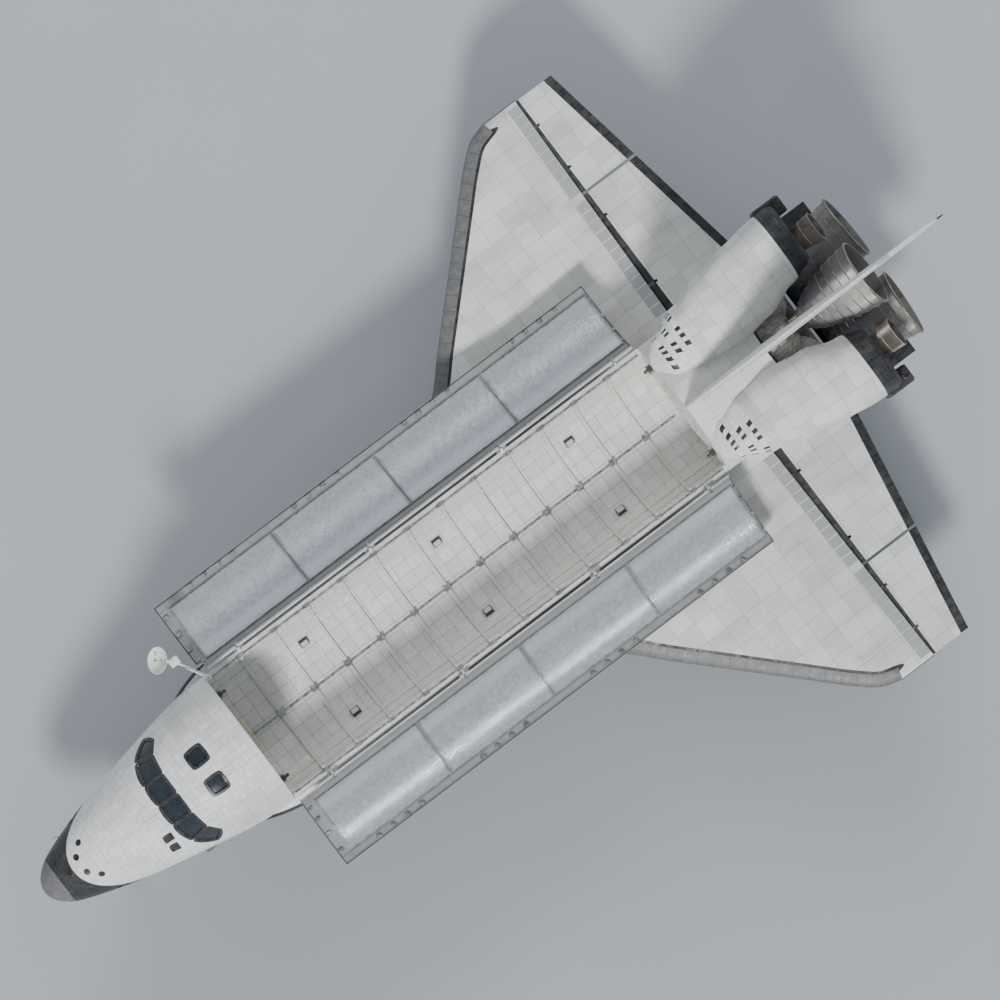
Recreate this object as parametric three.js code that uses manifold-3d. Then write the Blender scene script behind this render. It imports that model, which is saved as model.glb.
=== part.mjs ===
// A winged orbital space shuttle, parked on its landing gear with its payload bay doors open.
// Millimetres. +X runs aft, +Y to starboard and +Z up. The origin is on the ground, below the
// middle of the vehicle's length and width.
import * as THREE from "three";
import { mergeVertices } from "three/addons/utils/BufferGeometryUtils.js";
import Module from "manifold-3d";

const wasm = await Module();
wasm.setup();

// The real vehicle is drawn in inches: stations run aft from ahead of the nose, and waterlines
// run up. Both are turned into the part's own millimetres here.
const INCH = 25.4;
const NOSE_STATION = 238;
const TAIL_STATION = 1704;
const GROUND_WATERLINE = 139;
const MID_STATION = (NOSE_STATION + TAIL_STATION) / 2;
const stationX = (station) => (station - MID_STATION) * INCH;
const waterZ = (waterline) => (waterline - GROUND_WATERLINE) * INCH;
const mm = (inches) => inches * INCH;
const DEG = Math.PI / 180;
const GAP = 0.3; // between pieces that meet, in millimetres

// Driving dimensions, in inches unless they say otherwise.
const BELLY = 272;
const BODY_HALF = 102;
const BAY_FRONT = 582;
const BAY_BACK = 1302;
const CABIN_BACK = 576;
const BAY_CENTRE = 400;
const BAY_RADIUS = 93;
const DOOR_CENTRE = 395;
const DOOR_RADIUS = 105;
const DOOR_THICK = 4.5;
const DOOR_HINGE = { y: 104.6, z: 417, pin: 0.7, knuckle: 2.3, plate: 1.9, notch: 2.2 };
const DOOR_OPEN_DEG = 175.5;
const RADIATOR_SPLIT = 942;
const RADIATOR_THICK = 2;
const SILL = 412;
const SEMI_SPAN = 468.34;
const ELEVON_HINGE = 1387;
const ELEVON_INNER = 119;
const ELEVON_SPLIT = 312.5;
const ELEVON_END = 466;
const WING_ROOT = 102;
const DIHEDRAL = Math.tan(3.52 * DEG);
const FLAP_HINGE = { x: 1532, z: 290 };
const FLAP_END = 1613;
const FLAP_HALF = 126;
const FLAP_NOSE = 13;
const FIN_BASE = 500;
const FIN_TIP = 819;
const RUDDER_LOW = 620;
const RUDDER_HIGH = 800;
const MAIN_AXLE = { x: 1172, y: 136 };
const NOSE_AXLE = { x: 377 };
const MAIN_TYRE = { radius: 22.25, width: 15.5, offset: 17.5 };
const NOSE_TYRE = { radius: 16, width: 8.8, offset: 10 };

const finish = (color, roughness, metalness = 0) =>
  new THREE.MeshStandardMaterial({ color, roughness, metalness });
const material = {
  white: finish(0xe8e8e4, 0.75),
  black: finish(0x17181a, 0.7),
  carbon: finish(0x6b6c6c, 0.6),
  glass: finish(0x101820, 0.08),
  liner: finish(0xd9d8cf, 0.85),
  radiator: finish(0xc3cbd0, 0.18, 0.8),
  blanket: finish(0xd4d4ce, 0.9),
  metal: finish(0x9a9da0, 0.35, 0.9),
  nozzle: finish(0x5c5854, 0.4, 0.8),
  gear: finish(0xdadada, 0.4, 0.3),
  tyre: finish(0x1c1c1c, 0.9),
  cabin: finish(0x8c9094, 0.7),
};

// Turns points and triangles into a closed solid whose faces point out.
function solidOf(points, triangles) {
  const build = (tris) =>
    new wasm.Manifold(
      new wasm.Mesh({
        numProp: 3,
        vertProperties: new Float32Array(points.flat()),
        triVerts: new Uint32Array(tris.flat()),
      }),
    );
  const made = build(triangles);
  return made.volume() >= 0
    ? made
    : build(triangles.map(([a, b, c]) => [a, c, b]));
}

// Turns a closed three.js geometry into a solid.
function solidFrom(geometry) {
  const bare = geometry.clone();
  bare.deleteAttribute("normal");
  bare.deleteAttribute("uv");
  const merged = mergeVertices(bare, 1e-3);
  const place = merged.getAttribute("position");
  const points = Array.from({ length: place.count }, (_, i) => [
    place.getX(i),
    place.getY(i),
    place.getZ(i),
  ]);
  const index = Array.from(merged.index.array);
  const triangles = [];
  for (let i = 0; i < index.length; i += 3) {
    const face = index.slice(i, i + 3);
    if (new Set(face).size === 3) triangles.push(face);
  }
  return solidOf(points, triangles);
}

// Triangles that close a flat ring of points, each turned the way the ring runs.
function capOf(ring) {
  const normal = new THREE.Vector3();
  ring.forEach((p, i) => {
    const q = ring[(i + 1) % ring.length];
    normal.x += (p[1] - q[1]) * (p[2] + q[2]);
    normal.y += (p[2] - q[2]) * (p[0] + q[0]);
    normal.z += (p[0] - q[0]) * (p[1] + q[1]);
  });
  const size = normal.toArray().map(Math.abs);
  const drop = size.indexOf(Math.max(...size));
  const [u, v] = [0, 1, 2].filter((k) => k !== drop);
  const flat = ring.map((p) => new THREE.Vector2(p[u], p[v]));
  const turn = Math.sign(THREE.ShapeUtils.area(flat));
  return THREE.ShapeUtils.triangulateShape(flat, []).map(([a, b, c]) =>
    Math.sign(THREE.ShapeUtils.area([flat[a], flat[b], flat[c]])) === turn
      ? [a, b, c]
      : [a, c, b],
  );
}

// A solid skinned over rings that all hold the same number of points.
function loft(rings) {
  const n = rings[0].length;
  const points = rings.flat();
  const triangles = capOf(rings[0]).map(([a, b, c]) => [a, c, b]);
  for (let k = 0; k < rings.length - 1; k++) {
    for (let i = 0; i < n; i++) {
      const a = k * n + i;
      const b = k * n + ((i + 1) % n);
      triangles.push([a, b, b + n], [a, b + n, a + n]);
    }
  }
  const last = (rings.length - 1) * n;
  capOf(rings.at(-1)).forEach((face) =>
    triangles.push(face.map((i) => i + last)),
  );
  return solidOf(points, triangles);
}

// A prism whose outline is given in two of the axes and which runs along the third.
const alongX = (outline, x0, x1) =>
  loft([x0, x1].map((x) => outline.map(([y, z]) => [x, y, z])));
const alongY = (outline, y0, y1) =>
  loft([y0, y1].map((y) => outline.map(([x, z]) => [x, y, z])));
const alongZ = (outline, z0, z1) =>
  loft([z0, z1].map((z) => outline.map(([x, y]) => [x, y, z])));
const box = (x0, x1, y0, y1, z0, z1) =>
  alongX([[y0, z0], [y1, z0], [y1, z1], [y0, z1]], x0, x1);

// A solid turned about a line: the profile holds [distance along, radius] pairs, and the first
// corner of its round lies at the phase.
function turned(profile, segments, from, direction, phase = 0) {
  const lathe = new THREE.LatheGeometry(
    profile.map(([along, radius]) => new THREE.Vector2(radius, along)),
    segments,
    phase,
  );
  const turn = new THREE.Quaternion().setFromUnitVectors(
    new THREE.Vector3(0, 1, 0),
    new THREE.Vector3(...direction).normalize(),
  );
  lathe.applyQuaternion(turn);
  lathe.translate(...from);
  return solidFrom(lathe);
}

// A round rod between two points.
function rod(a, b, radius, segments = 12, endRadius = radius, phase = 0) {
  const from = new THREE.Vector3(...a);
  const along = new THREE.Vector3(...b).sub(from);
  const length = along.length();
  return turned(
    [[0, 0], [0, radius], [length, endRadius], [length, 0]],
    segments,
    a,
    along.toArray(),
    phase,
  );
}

// The cutter of a bore for a pin of the same number of sides. It is half a step out of phase, so
// that its flats face the pin's corners, and wide enough for the pin to turn in it.
const PIN_SIDES = 16;
const PIN_PLAY = 0.3; // millimetres, round a pin in its bore
function boreFor(a, b, pinRadius, sides = PIN_SIDES) {
  const radius = mm(pinRadius) / Math.cos(Math.PI / sides) + PIN_PLAY;
  return rod(a, b, radius, sides, radius, Math.PI / sides);
}

// An arm that ends in an eye: an outline of [x, z] inches given as a chain of points towards the
// eye, thickened to a bar, and bored for a pin that runs along Y.
function eyeArm(root, eye, y, width, radius, pinRadius) {
  const at = ([x, z], side) => [stationX(x), mm(y) + side * mm(width / 2), waterZ(z)];
  const bar = loft(
    [-1, 1].map((side) => {
      const [x0, z0] = root;
      const [x1, z1] = eye;
      const length = Math.hypot(x1 - x0, z1 - z0);
      const nx = (-(z1 - z0) / length) * radius;
      const nz = ((x1 - x0) / length) * radius;
      return [[x0 + nx, z0 + nz], [x0 - nx, z0 - nz], [x1 - nx, z1 - nz], [x1 + nx, z1 + nz]].map(
        (p) => at(p, side),
      );
    }),
  );
  const round = rod(at(eye, -1), at(eye, 1), mm(radius), 14);
  const bore = boreFor(at(eye, -2), at(eye, 2), pinRadius);
  return bar.add(round).subtract(bore);
}

const join = (...solids) => solids.reduce((a, b) => a.add(b));
const mirrorY = (solid) => solid.mirror([0, 1, 0]);

const shuttle = new THREE.Group();

// Adds one named mesh to the vehicle, or to a turned group of it.
function addPiece(name, solid, look, group = shuttle) {
  const mesh = solid.getMesh();
  const points = new Float32Array(mesh.numVert * 3);
  for (let i = 0; i < mesh.numVert; i++)
    points.set(
      mesh.vertProperties.subarray(i * mesh.numProp, i * mesh.numProp + 3),
      i * 3,
    );
  const geometry = new THREE.BufferGeometry()
    .setAttribute("position", new THREE.BufferAttribute(points, 3))
    .setIndex(new THREE.BufferAttribute(new Uint32Array(mesh.triVerts), 1));
  geometry.computeVertexNormals();
  const piece = new THREE.Mesh(geometry, look);
  piece.name = name;
  group.add(piece);
  return piece;
}

// Forward fuselage. A section is two half superellipses that meet at the shoulder line.
const RING_POINTS = 28;
// Columns: station, half width, bottom, top, shoulder waterline, upper power, lower power.
const noseSections = [
  [238, 1, 340, 342, 341, 2, 2],
  [239.5, 9, 332, 350, 341, 2, 2],
  [244, 17.5, 324, 358.5, 341, 2, 2],
  [252, 26, 316, 367, 341, 2, 2.1],
  [264, 34.5, 308, 376, 341, 2, 2.2],
];
const forwardSections = [
  [264, 34.5, 308, 376, 341, 2, 2.2],
  [285, 43.5, 299.5, 388, 341, 2, 2.4],
  [310, 52, 292, 400, 342, 2, 2.7],
  [346, 62.5, 284.5, 415, 344, 2, 3],
  [382, 71.5, 279.5, 428, 348, 2, 3.4],
  [412, 78, 276.5, 438, 354, 2.05, 3.8],
  [430, 82, 275, 452, 360, 2.1, 4.2],
  [450, 86, 274, 471, 368, 2.2, 4.8],
  [468, 89.5, 273, 486, 376, 2.3, 5.4],
  [486, 93, 272.4, 494.5, 384, 2.25, 6.5],
  [520, 98.6, BELLY, 499.5, 391, 2.1, 9],
  [548, 101.2, BELLY, 500, DOOR_CENTRE, 2, 14],
  [CABIN_BACK, BODY_HALF, BELLY, 500, DOOR_CENTRE, 2, 20],
];

function bodyRing([station, half, bottom, top, shoulder, upper, lower], inset) {
  const ring = [];
  for (let i = 0; i < RING_POINTS; i++) {
    const angle = (2 * Math.PI * i) / RING_POINTS;
    const c = Math.cos(angle);
    const s = Math.sin(angle);
    const power = s >= 0 ? upper : lower;
    const rise = (s >= 0 ? top - shoulder : shoulder - bottom) - inset;
    ring.push([
      stationX(station),
      mm((half - inset) * Math.sign(c) * Math.abs(c) ** (2 / power)),
      waterZ(shoulder + rise * Math.sign(s) * Math.abs(s) ** (2 / power)),
    ]);
  }
  return ring;
}
const bodyLoft = (sections, inset = 0) =>
  loft(sections.map((section) => bodyRing(section, inset)));

const CABIN_WALL = 4;
const CABIN_FRONT = 396;
const CABIN_FLOOR = 322;
const WELL = { front: 330, back: 428, half: 22, top: 318 };
const HATCH = { x: 452, z: 362, radius: 20, gap: 0.35, taper: 1.2 };
const HATCH_HINGE = { y: -89, z: 341.6, pin: 0.5, knuckle: 1.1 };
const CONE_SLOPE = HATCH.taper / 4;
const CABIN_HEART = [500, 0, 430];

// Windows, port side first in the mirror: four corners each, as [station, side, waterline].
const frontWindows = [
  [[428, 2.5, 452], [429, 30, 447], [456, 31, 474], [457, 2.5, 478]],
  [[430, 34, 445], [438, 61, 431], [461, 59, 461], [457.5, 35, 473]],
  [[441, 64.5, 428], [467, 78, 424], [475, 73, 450], [464, 62.5, 459]],
];
const roofWindows = [[[497, 13, 500], [497, 35, 497], [520, 36, 498], [520, 13, 502]]];

// A tapered cutter through four corners, drawn towards the middle of the cabin.
function windowCutter(corners, side, inner, outer) {
  const ring = (share) =>
    corners.map(([x, y, z]) => {
      const [hx, hy, hz] = CABIN_HEART;
      return [
        stationX(hx + (x - hx) * share),
        mm(hy + (y * side - hy) * share),
        waterZ(hz + (z - hz) * share),
      ];
    });
  return loft([ring(inner), ring(outer)]);
}

function buildForwardFuselage() {
  const outer = bodyLoft(forwardSections);
  const cabinBox = box(
    stationX(CABIN_FRONT), stationX(CABIN_BACK + 5),
    -mm(120), mm(120), waterZ(CABIN_FLOOR), waterZ(520),
  );
  const lastRow = [...forwardSections.at(-1)];
  lastRow[0] = CABIN_BACK + 5;
  const inner = bodyLoft([...forwardSections.slice(3), lastRow], CABIN_WALL).intersect(cabinBox);
  const well = box(
    stationX(WELL.front), stationX(WELL.back),
    -mm(WELL.half), mm(WELL.half), waterZ(250), waterZ(WELL.top),
  );
  // The hatch is cut as a cone that narrows inwards, so that it swings out clear of its frame.
  const hatchCone = (extra) =>
    rod(
      [stationX(HATCH.x), -mm(120), waterZ(HATCH.z)], [stationX(HATCH.x), -mm(60), waterZ(HATCH.z)],
      mm(HATCH.radius + 33 * CONE_SLOPE + extra), 32,
      mm(HATCH.radius - 27 * CONE_SLOPE + extra),
    );
  let shell = outer.subtract(inner).subtract(well);
  let hatch = shell.intersect(hatchCone(0));
  shell = shell.subtract(hatchCone(HATCH.gap));
  const onHinge = (along) => [
    stationX(HATCH.x + along), mm(HATCH_HINGE.y), waterZ(HATCH_HINGE.z),
  ];
  const knuckle = (from, to, radius) => rod(onHinge(from), onHinge(to), mm(radius), PIN_SIDES);
  const skinBlock = (from, to, near, far, low, high) =>
    box(
      stationX(HATCH.x + from), stationX(HATCH.x + to), mm(HATCH_HINGE.y + near),
      mm(HATCH_HINGE.y + far), waterZ(low), waterZ(high),
    );
  const hinge = HATCH_HINGE.z;
  const ears = join(
    knuckle(-8, -3.2, HATCH_HINGE.knuckle), skinBlock(-8, -3.2, -0.4, 5, hinge - 3, hinge),
    knuckle(3.2, 8, HATCH_HINGE.knuckle), skinBlock(3.2, 8, -0.4, 5, hinge - 3, hinge),
  ).subtract(boreFor(onHinge(-9), onHinge(9), HATCH_HINGE.pin)).subtract(hatchCone(HATCH.gap));
  shell = shell.add(ears);
  hatch = hatch.add(knuckle(-2.9, 2.9, HATCH_HINGE.knuckle))
    .add(knuckle(-8, 8, HATCH_HINGE.pin))
    .add(skinBlock(-2.9, 2.9, -0.4, 1.5, hinge, hinge + 5))
    .add(skinBlock(-2.9, 2.9, 1.4, 4.6, hinge + 1.6, hinge + 5));
  for (const side of [1, -1]) {
    for (const corners of [...frontWindows, ...roofWindows])
      shell = shell.subtract(windowCutter(corners, side, 0.7, 1.25));
  }
  addPiece("nose_cap", bodyLoft(noseSections).translate([-GAP, 0, 0]), material.carbon);
  addPiece("forward_fuselage", shell, material.white);
  addPiece("side_hatch", hatch, material.white);

  // Glass lies against the inside of the wall, one pane band in front and one above.
  const glassOuter = bodyLoft(forwardSections.slice(4), CABIN_WALL + 0.02);
  const glassInner = bodyLoft(forwardSections.slice(4), CABIN_WALL + 1.2);
  const layer = glassOuter.subtract(glassInner);
  const band = box(
    stationX(418), stationX(482), -mm(84), mm(84), waterZ(416), waterZ(486),
  );
  const roof = box(
    stationX(490), stationX(527), -mm(44), mm(44), waterZ(480), waterZ(505),
  );
  addPiece("windshield", layer.intersect(band), material.glass);
  addPiece("overhead_windows", layer.intersect(roof), material.glass);
}

// The crew's deck: floor, front console and two seats, in one piece.
function buildFlightDeck() {
  const floor = box(
    stationX(446), stationX(572), -mm(99), mm(99), waterZ(398), waterZ(401),
  );
  const console = alongY(
    [[446, 400.5], [462, 400.5], [470, 426], [458, 440], [449, 436]].map(([x, z]) => [
      stationX(x), waterZ(z),
    ]),
    -mm(56), mm(56),
  );
  const centre = box(
    stationX(468), stationX(506), -mm(9), mm(9), waterZ(400.5), waterZ(420),
  );
  const seat = (y) =>
    join(
      box(stationX(486), stationX(508), mm(y - 10), mm(y + 10), waterZ(400.5), waterZ(418)),
      alongY(
        [[503, 412], [510, 412], [518, 456], [512, 457]].map(([x, z]) => [stationX(x), waterZ(z)]),
        mm(y - 10), mm(y + 10),
      ),
    );
  const rear = box(
    stationX(556), stationX(571), -mm(60), mm(60), waterZ(400.5), waterZ(438),
  );
  const cabin = (inset) => bodyLoft(forwardSections.slice(3), inset);
  const fittings = join(console, centre, seat(-26), seat(26), rear).intersect(cabin(CABIN_WALL + 1.3));
  const deck = floor.intersect(cabin(CABIN_WALL + 2 * GAP / INCH)).add(fittings);
  addPiece("flight_deck", deck, material.cabin);
}

// The wall between cabin and payload bay, with two rear windows and the airlock's hatchway.
function buildCabinBulkhead() {
  const last = forwardSections.at(-1);
  const at = (station, inset) => bodyRing([station, ...last.slice(1)], inset);
  let wall = loft([at(CABIN_BACK + 0.02, 0), at(CABIN_BACK + 4, 0)]);
  for (const side of [-1, 1])
    wall = wall.subtract(
      box(
        stationX(570), stationX(585),
        mm(side * 16 - 7.5), mm(side * 16 + 7.5), waterZ(452), waterZ(467),
      ),
    );
  wall = wall.subtract(
    rod([stationX(570), 0, waterZ(360)], [stationX(585), 0, waterZ(360)], mm(20), 24),
  );
  addPiece("cabin_bulkhead", wall, material.liner);
}

// The bay's trough: flat belly and sides outside, a half round lined hollow inside.
function buildMidFuselage() {
  const BAY_STEPS = 12;
  const hollow = Array.from({ length: BAY_STEPS + 1 }, (_, i) => {
    const angle = (Math.PI * i) / BAY_STEPS;
    return [BAY_RADIUS * Math.cos(angle), BAY_CENTRE - BAY_RADIUS * Math.sin(angle)];
  });
  const outline = [
    [-BODY_HALF, SILL], [-BODY_HALF, BELLY], [BODY_HALF, BELLY], [BODY_HALF, SILL],
    [BAY_RADIUS, SILL], ...hollow, [-BAY_RADIUS, SILL],
  ];
  let trough = alongX(
    outline.map(([y, z]) => [mm(y), waterZ(z)]),
    stationX(CABIN_BACK + 4.02), stationX(BAY_BACK + 4),
  );
  // The doors' hinge plates stand on the sills.
  const { y, z, pin, plate } = DOOR_HINGE;
  const arm = [
    [96, SILL - 1], [101.5, SILL - 1], [y + 0.9, z - 1], [y + 0.9, z + 1], [y - 0.9, z + 1],
  ];
  for (const station of DOOR_LUGS)
    for (const side of [-1, 1]) {
      const onHinge = (along) => [stationX(station + along), mm(side * y), waterZ(z)];
      const lug = alongX(
        arm.map(([a, b]) => [mm(side * a), waterZ(b)]),
        stationX(station - plate), stationX(station + plate),
      );
      trough = trough.add(lug.subtract(boreFor(onHinge(-3), onHinge(3), pin)));
    }
  addPiece("mid_fuselage", trough, material.white);
}

// Main wheel well, sunk in the wing root and the belly beside it.
const MAIN_WELL = { front: 1050, back: 1200, inner: 108, outer: 166, top: 298 };
function mainWellCutter(side) {
  const y = [mm(side * MAIN_WELL.inner), mm(side * MAIN_WELL.outer)].sort((a, b) => a - b);
  return box(
    stationX(MAIN_WELL.front), stationX(MAIN_WELL.back), y[0], y[1], waterZ(250), waterZ(MAIN_WELL.top),
  );
}

// Wing planform: the strake's edge, then the main edge at 45 degrees, and a rounded tip.
// Columns: distance from the centre line, leading edge station, depth at the thickest, edge height.
const wingSections = [
  [WING_ROOT + 0.02, 532, 62, 18],
  [112, 562, 60, 18],
  [120, 602, 58, 17.5],
  [136, 701, 55, 17],
  [160, 852, 51, 16],
  [178, 966, 47, 15],
  [189, 1014, 45, 14],
  [212, 1049, 41, 13],
  [260, 1096, 35, 11.5],
  [ELEVON_SPLIT, 1148.5, 30, 10],
  [390, 1226, 23, 8],
  [440, 1277, 18.5, 6.5],
  [460, 1303, 16, 5.5],
  [SEMI_SPAN, 1330, 13, 5],
];
const trailingStation = (y) => 1525.3 - 0.1773 * y;
const wingBase = (y) => BELLY + Math.max(0, y - WING_ROOT) * DIHEDRAL;
// Half depth of the elevon's round nose, and the height of its hinge.
const elevonNose = (y) => 15 - (10 * (y - ELEVON_INNER)) / (SEMI_SPAN - ELEVON_INNER);
const hingeHeight = (y) => wingBase(y) + 1.2 + elevonNose(y);

const CHORD_SHARES = [0.004, 0.02, 0.06, 0.15, 0.32, 0.55, 0.8];
const COVE_UP_DEG = [48, 68, 88, 108, 128, 148];
const COVE_GAP = 0.5;

function wingRing(y, front, depth, edge) {
  const nose = elevonNose(Math.max(y, ELEVON_INNER));
  const hinge = hingeHeight(Math.max(y, ELEVON_INNER));
  const base = wingBase(y);
  const cove = COVE_UP_DEG.map((deg) => [
    ELEVON_HINGE - (nose + COVE_GAP) * Math.sin(deg * DEG),
    hinge + (nose + COVE_GAP) * Math.cos(deg * DEG),
  ]);
  const back = cove[0][0];
  const low = cove.at(-1);
  const upper = CHORD_SHARES.map((share) => {
    const x = front + (back - front) * share;
    const rise = Math.min(1, (share / 0.36) ** 0.52);
    const settle = Math.max(0, (share - 0.36) / 0.64) ** 1.6;
    const crown = base + edge + (depth - edge) * rise;
    return [x, crown + (cove[0][1] + 1.5 - crown) * settle];
  });
  const under = CHORD_SHARES.map((share) => {
    const x = front + (low[0] - front) * share;
    return [x, base + edge * Math.max(0, 1 - (share / 0.14) ** 0.6)];
  }).reverse();
  const tip = [front, base + edge];
  return [tip, ...upper, ...cove, [low[0], base], ...under].map(([x, z]) => [
    stationX(x), mm(y), waterZ(z),
  ]);
}

function buildWing(name, side) {
  let wing = loft(wingSections.map((row) => wingRing(...row)));
  // The edge in front of the cut is a carbon skin of its own.
  const edgeCutter = edgeRegion();
  const skin = wing.intersect(edgeCutter);
  wing = wing.subtract(edgeRegion(GAP / INCH)).subtract(mainWellCutter(1));
  for (const [y, width] of elevonBrackets) {
    const eye = [ELEVON_HINGE, hingeHeight(y)];
    const root = [ELEVON_HINGE - elevonNose(y) - 4, hingeHeight(y) + 1];
    const arm = eyeArm(root, eye, y, width, ELEVON_PIN.eye, ELEVON_PIN.radius);
    const onPin = (along) => hingePoint(y + along);
    wing = wing.add(arm.subtract(boreFor(onPin(-width), onPin(width), ELEVON_PIN.radius)));
  }
  const turn = (solid) => (side > 0 ? solid : mirrorY(solid));
  addPiece(`wing_${name}`, turn(wing), material.white);
  addPiece(`leading_edge_${name}`, turn(skin), material.carbon);
}

// Hinge brackets: distance from the centre line and width. Each stands in a slot of the elevons.
const ELEVON_PIN = { radius: 1.2, eye: 2.6 };
const elevonBrackets = [
  [160, 3],
  [272, 3],
  [ELEVON_SPLIT + 40, 3],
  [ELEVON_SPLIT + 110, 3],
];
const SLOT_SIDE = 0.4;

// A point of the elevons' hinge line.
const hingePoint = (y) => [stationX(ELEVON_HINGE), mm(y), waterZ(hingeHeight(y))];

// Plan region of the carbon edge: a strip along the main leading edge and round the tip.
function edgeRegion(extra = 0) {
  const depth = 17 + extra;
  const outline = [
    [900, 200], [1040, 300], [1280, 480], [1345, 480],
    [1345, SEMI_SPAN - 5], [1330 + depth * 0.4, SEMI_SPAN - 5], [1303 + depth, 455], [1277 + depth, 437],
    [1148.5 + depth, ELEVON_SPLIT], [1096 + depth, 260], [1049 + depth, 212],
    [1014 + depth, 189 + 1], [966 + depth, 178 - extra], [962, 178 - extra],
  ];
  return alongZ(outline.map(([x, y]) => [stationX(x), mm(y)]), waterZ(240), waterZ(380));
}

// An elevon: a wedge behind a round nose that turns in the wing's cove.
function elevonRing(y) {
  const nose = elevonNose(y);
  const z = hingeHeight(y);
  const end = trailingStation(y);
  const round = [0, 30, 60, 90, 120, 150, 180].map((deg) => [
    ELEVON_HINGE - nose * Math.sin(deg * DEG),
    z + nose * Math.cos(deg * DEG),
  ]);
  return [...round, [end, z - nose * 0.45], [end, z - nose * 0.45 + 1.2]].map(([x, h]) => [
    stationX(x), mm(y), waterZ(h),
  ]);
}

function buildElevons(name, side) {
  const spans = { inner: [ELEVON_INNER, ELEVON_SPLIT - 2], outer: [ELEVON_SPLIT + 2, ELEVON_END] };
  for (const [place, [from, to]] of Object.entries(spans)) {
    let flap = loft([elevonRing(from), elevonRing(to)]);
    for (const [y, width] of elevonBrackets.filter(([at]) => at > from && at < to)) {
      const half = width / 2 + SLOT_SIDE;
      const nose = elevonNose(y) + 2;
      const slot = box(
        stationX(ELEVON_HINGE - nose), stationX(ELEVON_HINGE + ELEVON_PIN.eye + 1),
        mm(y - half), mm(y + half), waterZ(hingeHeight(y) - nose), waterZ(hingeHeight(y) + nose),
      );
      const pin = rod(hingePoint(y - width), hingePoint(y + width), mm(ELEVON_PIN.radius), PIN_SIDES);
      flap = flap.subtract(slot).add(pin);
    }
    addPiece(`elevon_${place}_${name}`, side > 0 ? flap : mirrorY(flap), material.white);
  }
}

// Aft fuselage: a hollow body with a sloping rear heat shield and three round engine sockets.
const AFT_WALL = 7;
const BELLY_FLAT_TO = 1345;
const BASE_LOW = { x: 1516, z: BELLY + 2 };
const BASE_HIGH = { x: 1440, z: 490 };
const ENGINE_BALL = 46;
const SOCKET_ROOM = 1.6;
const GIMBAL = { post: 3, ear: 5.5, width: 3.4, eye: 4.5, pin: 2.2 };
const FLAP_ARMS = [-70, 70];
const FLAP_ARM = { width: 4, eye: 3.4, pin: 1.6 };
// Columns: name, gimbal station, side, waterline, tilt up and tilt outboard in degrees.
const engines = [
  ["top", 1445, 0, 443, 16, 0],
  ["left", 1468, -53, 342.6, 10, -3.5],
  ["right", 1468, 53, 342.6, 10, 3.5],
];

function aftOutline(inset) {
  return [
    [BAY_BACK + 4.02 + inset, BELLY + inset], [BELLY_FLAT_TO, BELLY + inset],
    [BASE_LOW.x - inset, BASE_LOW.z + inset], [BASE_HIGH.x - inset, BASE_HIGH.z - inset],
    [BASE_HIGH.x - inset - 4, 500 - inset],
    [BAY_BACK + 4.02 + inset, 500 - inset],
  ].map(([x, z]) => [stationX(x), waterZ(z)]);
}

// The body's section behind the bay: flat below, and round above like the closed doors.
function aftSection(inset) {
  const outline = [
    [-BODY_HALF + inset, BELLY + inset], [BODY_HALF - inset, BELLY + inset],
    [BODY_HALF - inset, DOOR_CENTRE],
  ];
  for (let deg = 15; deg <= 165; deg += 15)
    outline.push([
      (DOOR_RADIUS - inset) * Math.cos(deg * DEG),
      DOOR_CENTRE + (DOOR_RADIUS - inset) * Math.sin(deg * DEG),
    ]);
  outline.push([-BODY_HALF + inset, DOOR_CENTRE]);
  return alongX(
    outline.map(([y, z]) => [mm(y), waterZ(z)]), stationX(BAY_BACK), stationX(1540),
  ).intersect(alongY(aftOutline(inset), -mm(130), mm(130)));
}

function buildAftFuselage() {
  let body = aftSection(0).subtract(aftSection(AFT_WALL));
  for (const side of [-1, 1]) {
    const y = [side * (BODY_HALF - 3), side * (ELEVON_INNER - 1)].sort((a, b) => a - b);
    body = body.add(
      alongY(
        [[1379.4, BELLY], [BASE_LOW.x, BASE_LOW.z], [BASE_LOW.x, BELLY + 14], [1379.4, BELLY + 30]]
          .map(([x, z]) => [stationX(x), waterZ(z)]),
        mm(y[0]), mm(y[1]),
      ),
    );
  }
  for (const [, x, y, z] of engines)
    body = body.subtract(sphere([stationX(x), mm(y), waterZ(z)], mm(ENGINE_BALL + SOCKET_ROOM)));
  for (const y of FLAP_ARMS)
    body = body.add(
      eyeArm([1509, 284], [FLAP_HINGE.x, FLAP_HINGE.z], y, FLAP_ARM.width, FLAP_ARM.eye, FLAP_ARM.pin),
    );
  // Each engine swings on a cross pin, at the end of a post from the front wall.
  for (const [, x, y, z] of engines) {
    const at = (side) => [stationX(x), mm(y + side * (GIMBAL.ear + GIMBAL.width)), waterZ(z)];
    const wall = [stationX(BAY_BACK + 8), mm(y), waterZ(z)];
    const post = rod(wall, [stationX(x), mm(y), waterZ(z)], mm(GIMBAL.post), 12);
    body = body.add(post).add(rod(at(-1), at(1), mm(GIMBAL.pin), PIN_SIDES));
  }
  addPiece("aft_fuselage", body, material.white);
}

function sphere(centre, radius, segments = 22) {
  const ball = new THREE.SphereGeometry(radius, segments, 12);
  ball.rotateZ(-Math.PI / 2);
  ball.translate(...centre);
  return solidFrom(ball);
}

// Main engines: a domed heat shield round the gimbal, and the bell behind it.
// Columns: distance from the gimbal, radius of the bell, in inches.
const bellOuter = [[44, 12], [56, 12], [74, 24], [96, 33.5], [122, 41], [168, 47.3]];
const bellInner = [[168, 45.8], [122, 39.5], [96, 32], [74, 22.5], [62, 13], [60, 0]];
const ENGINE_SIDES = 20;

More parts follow.
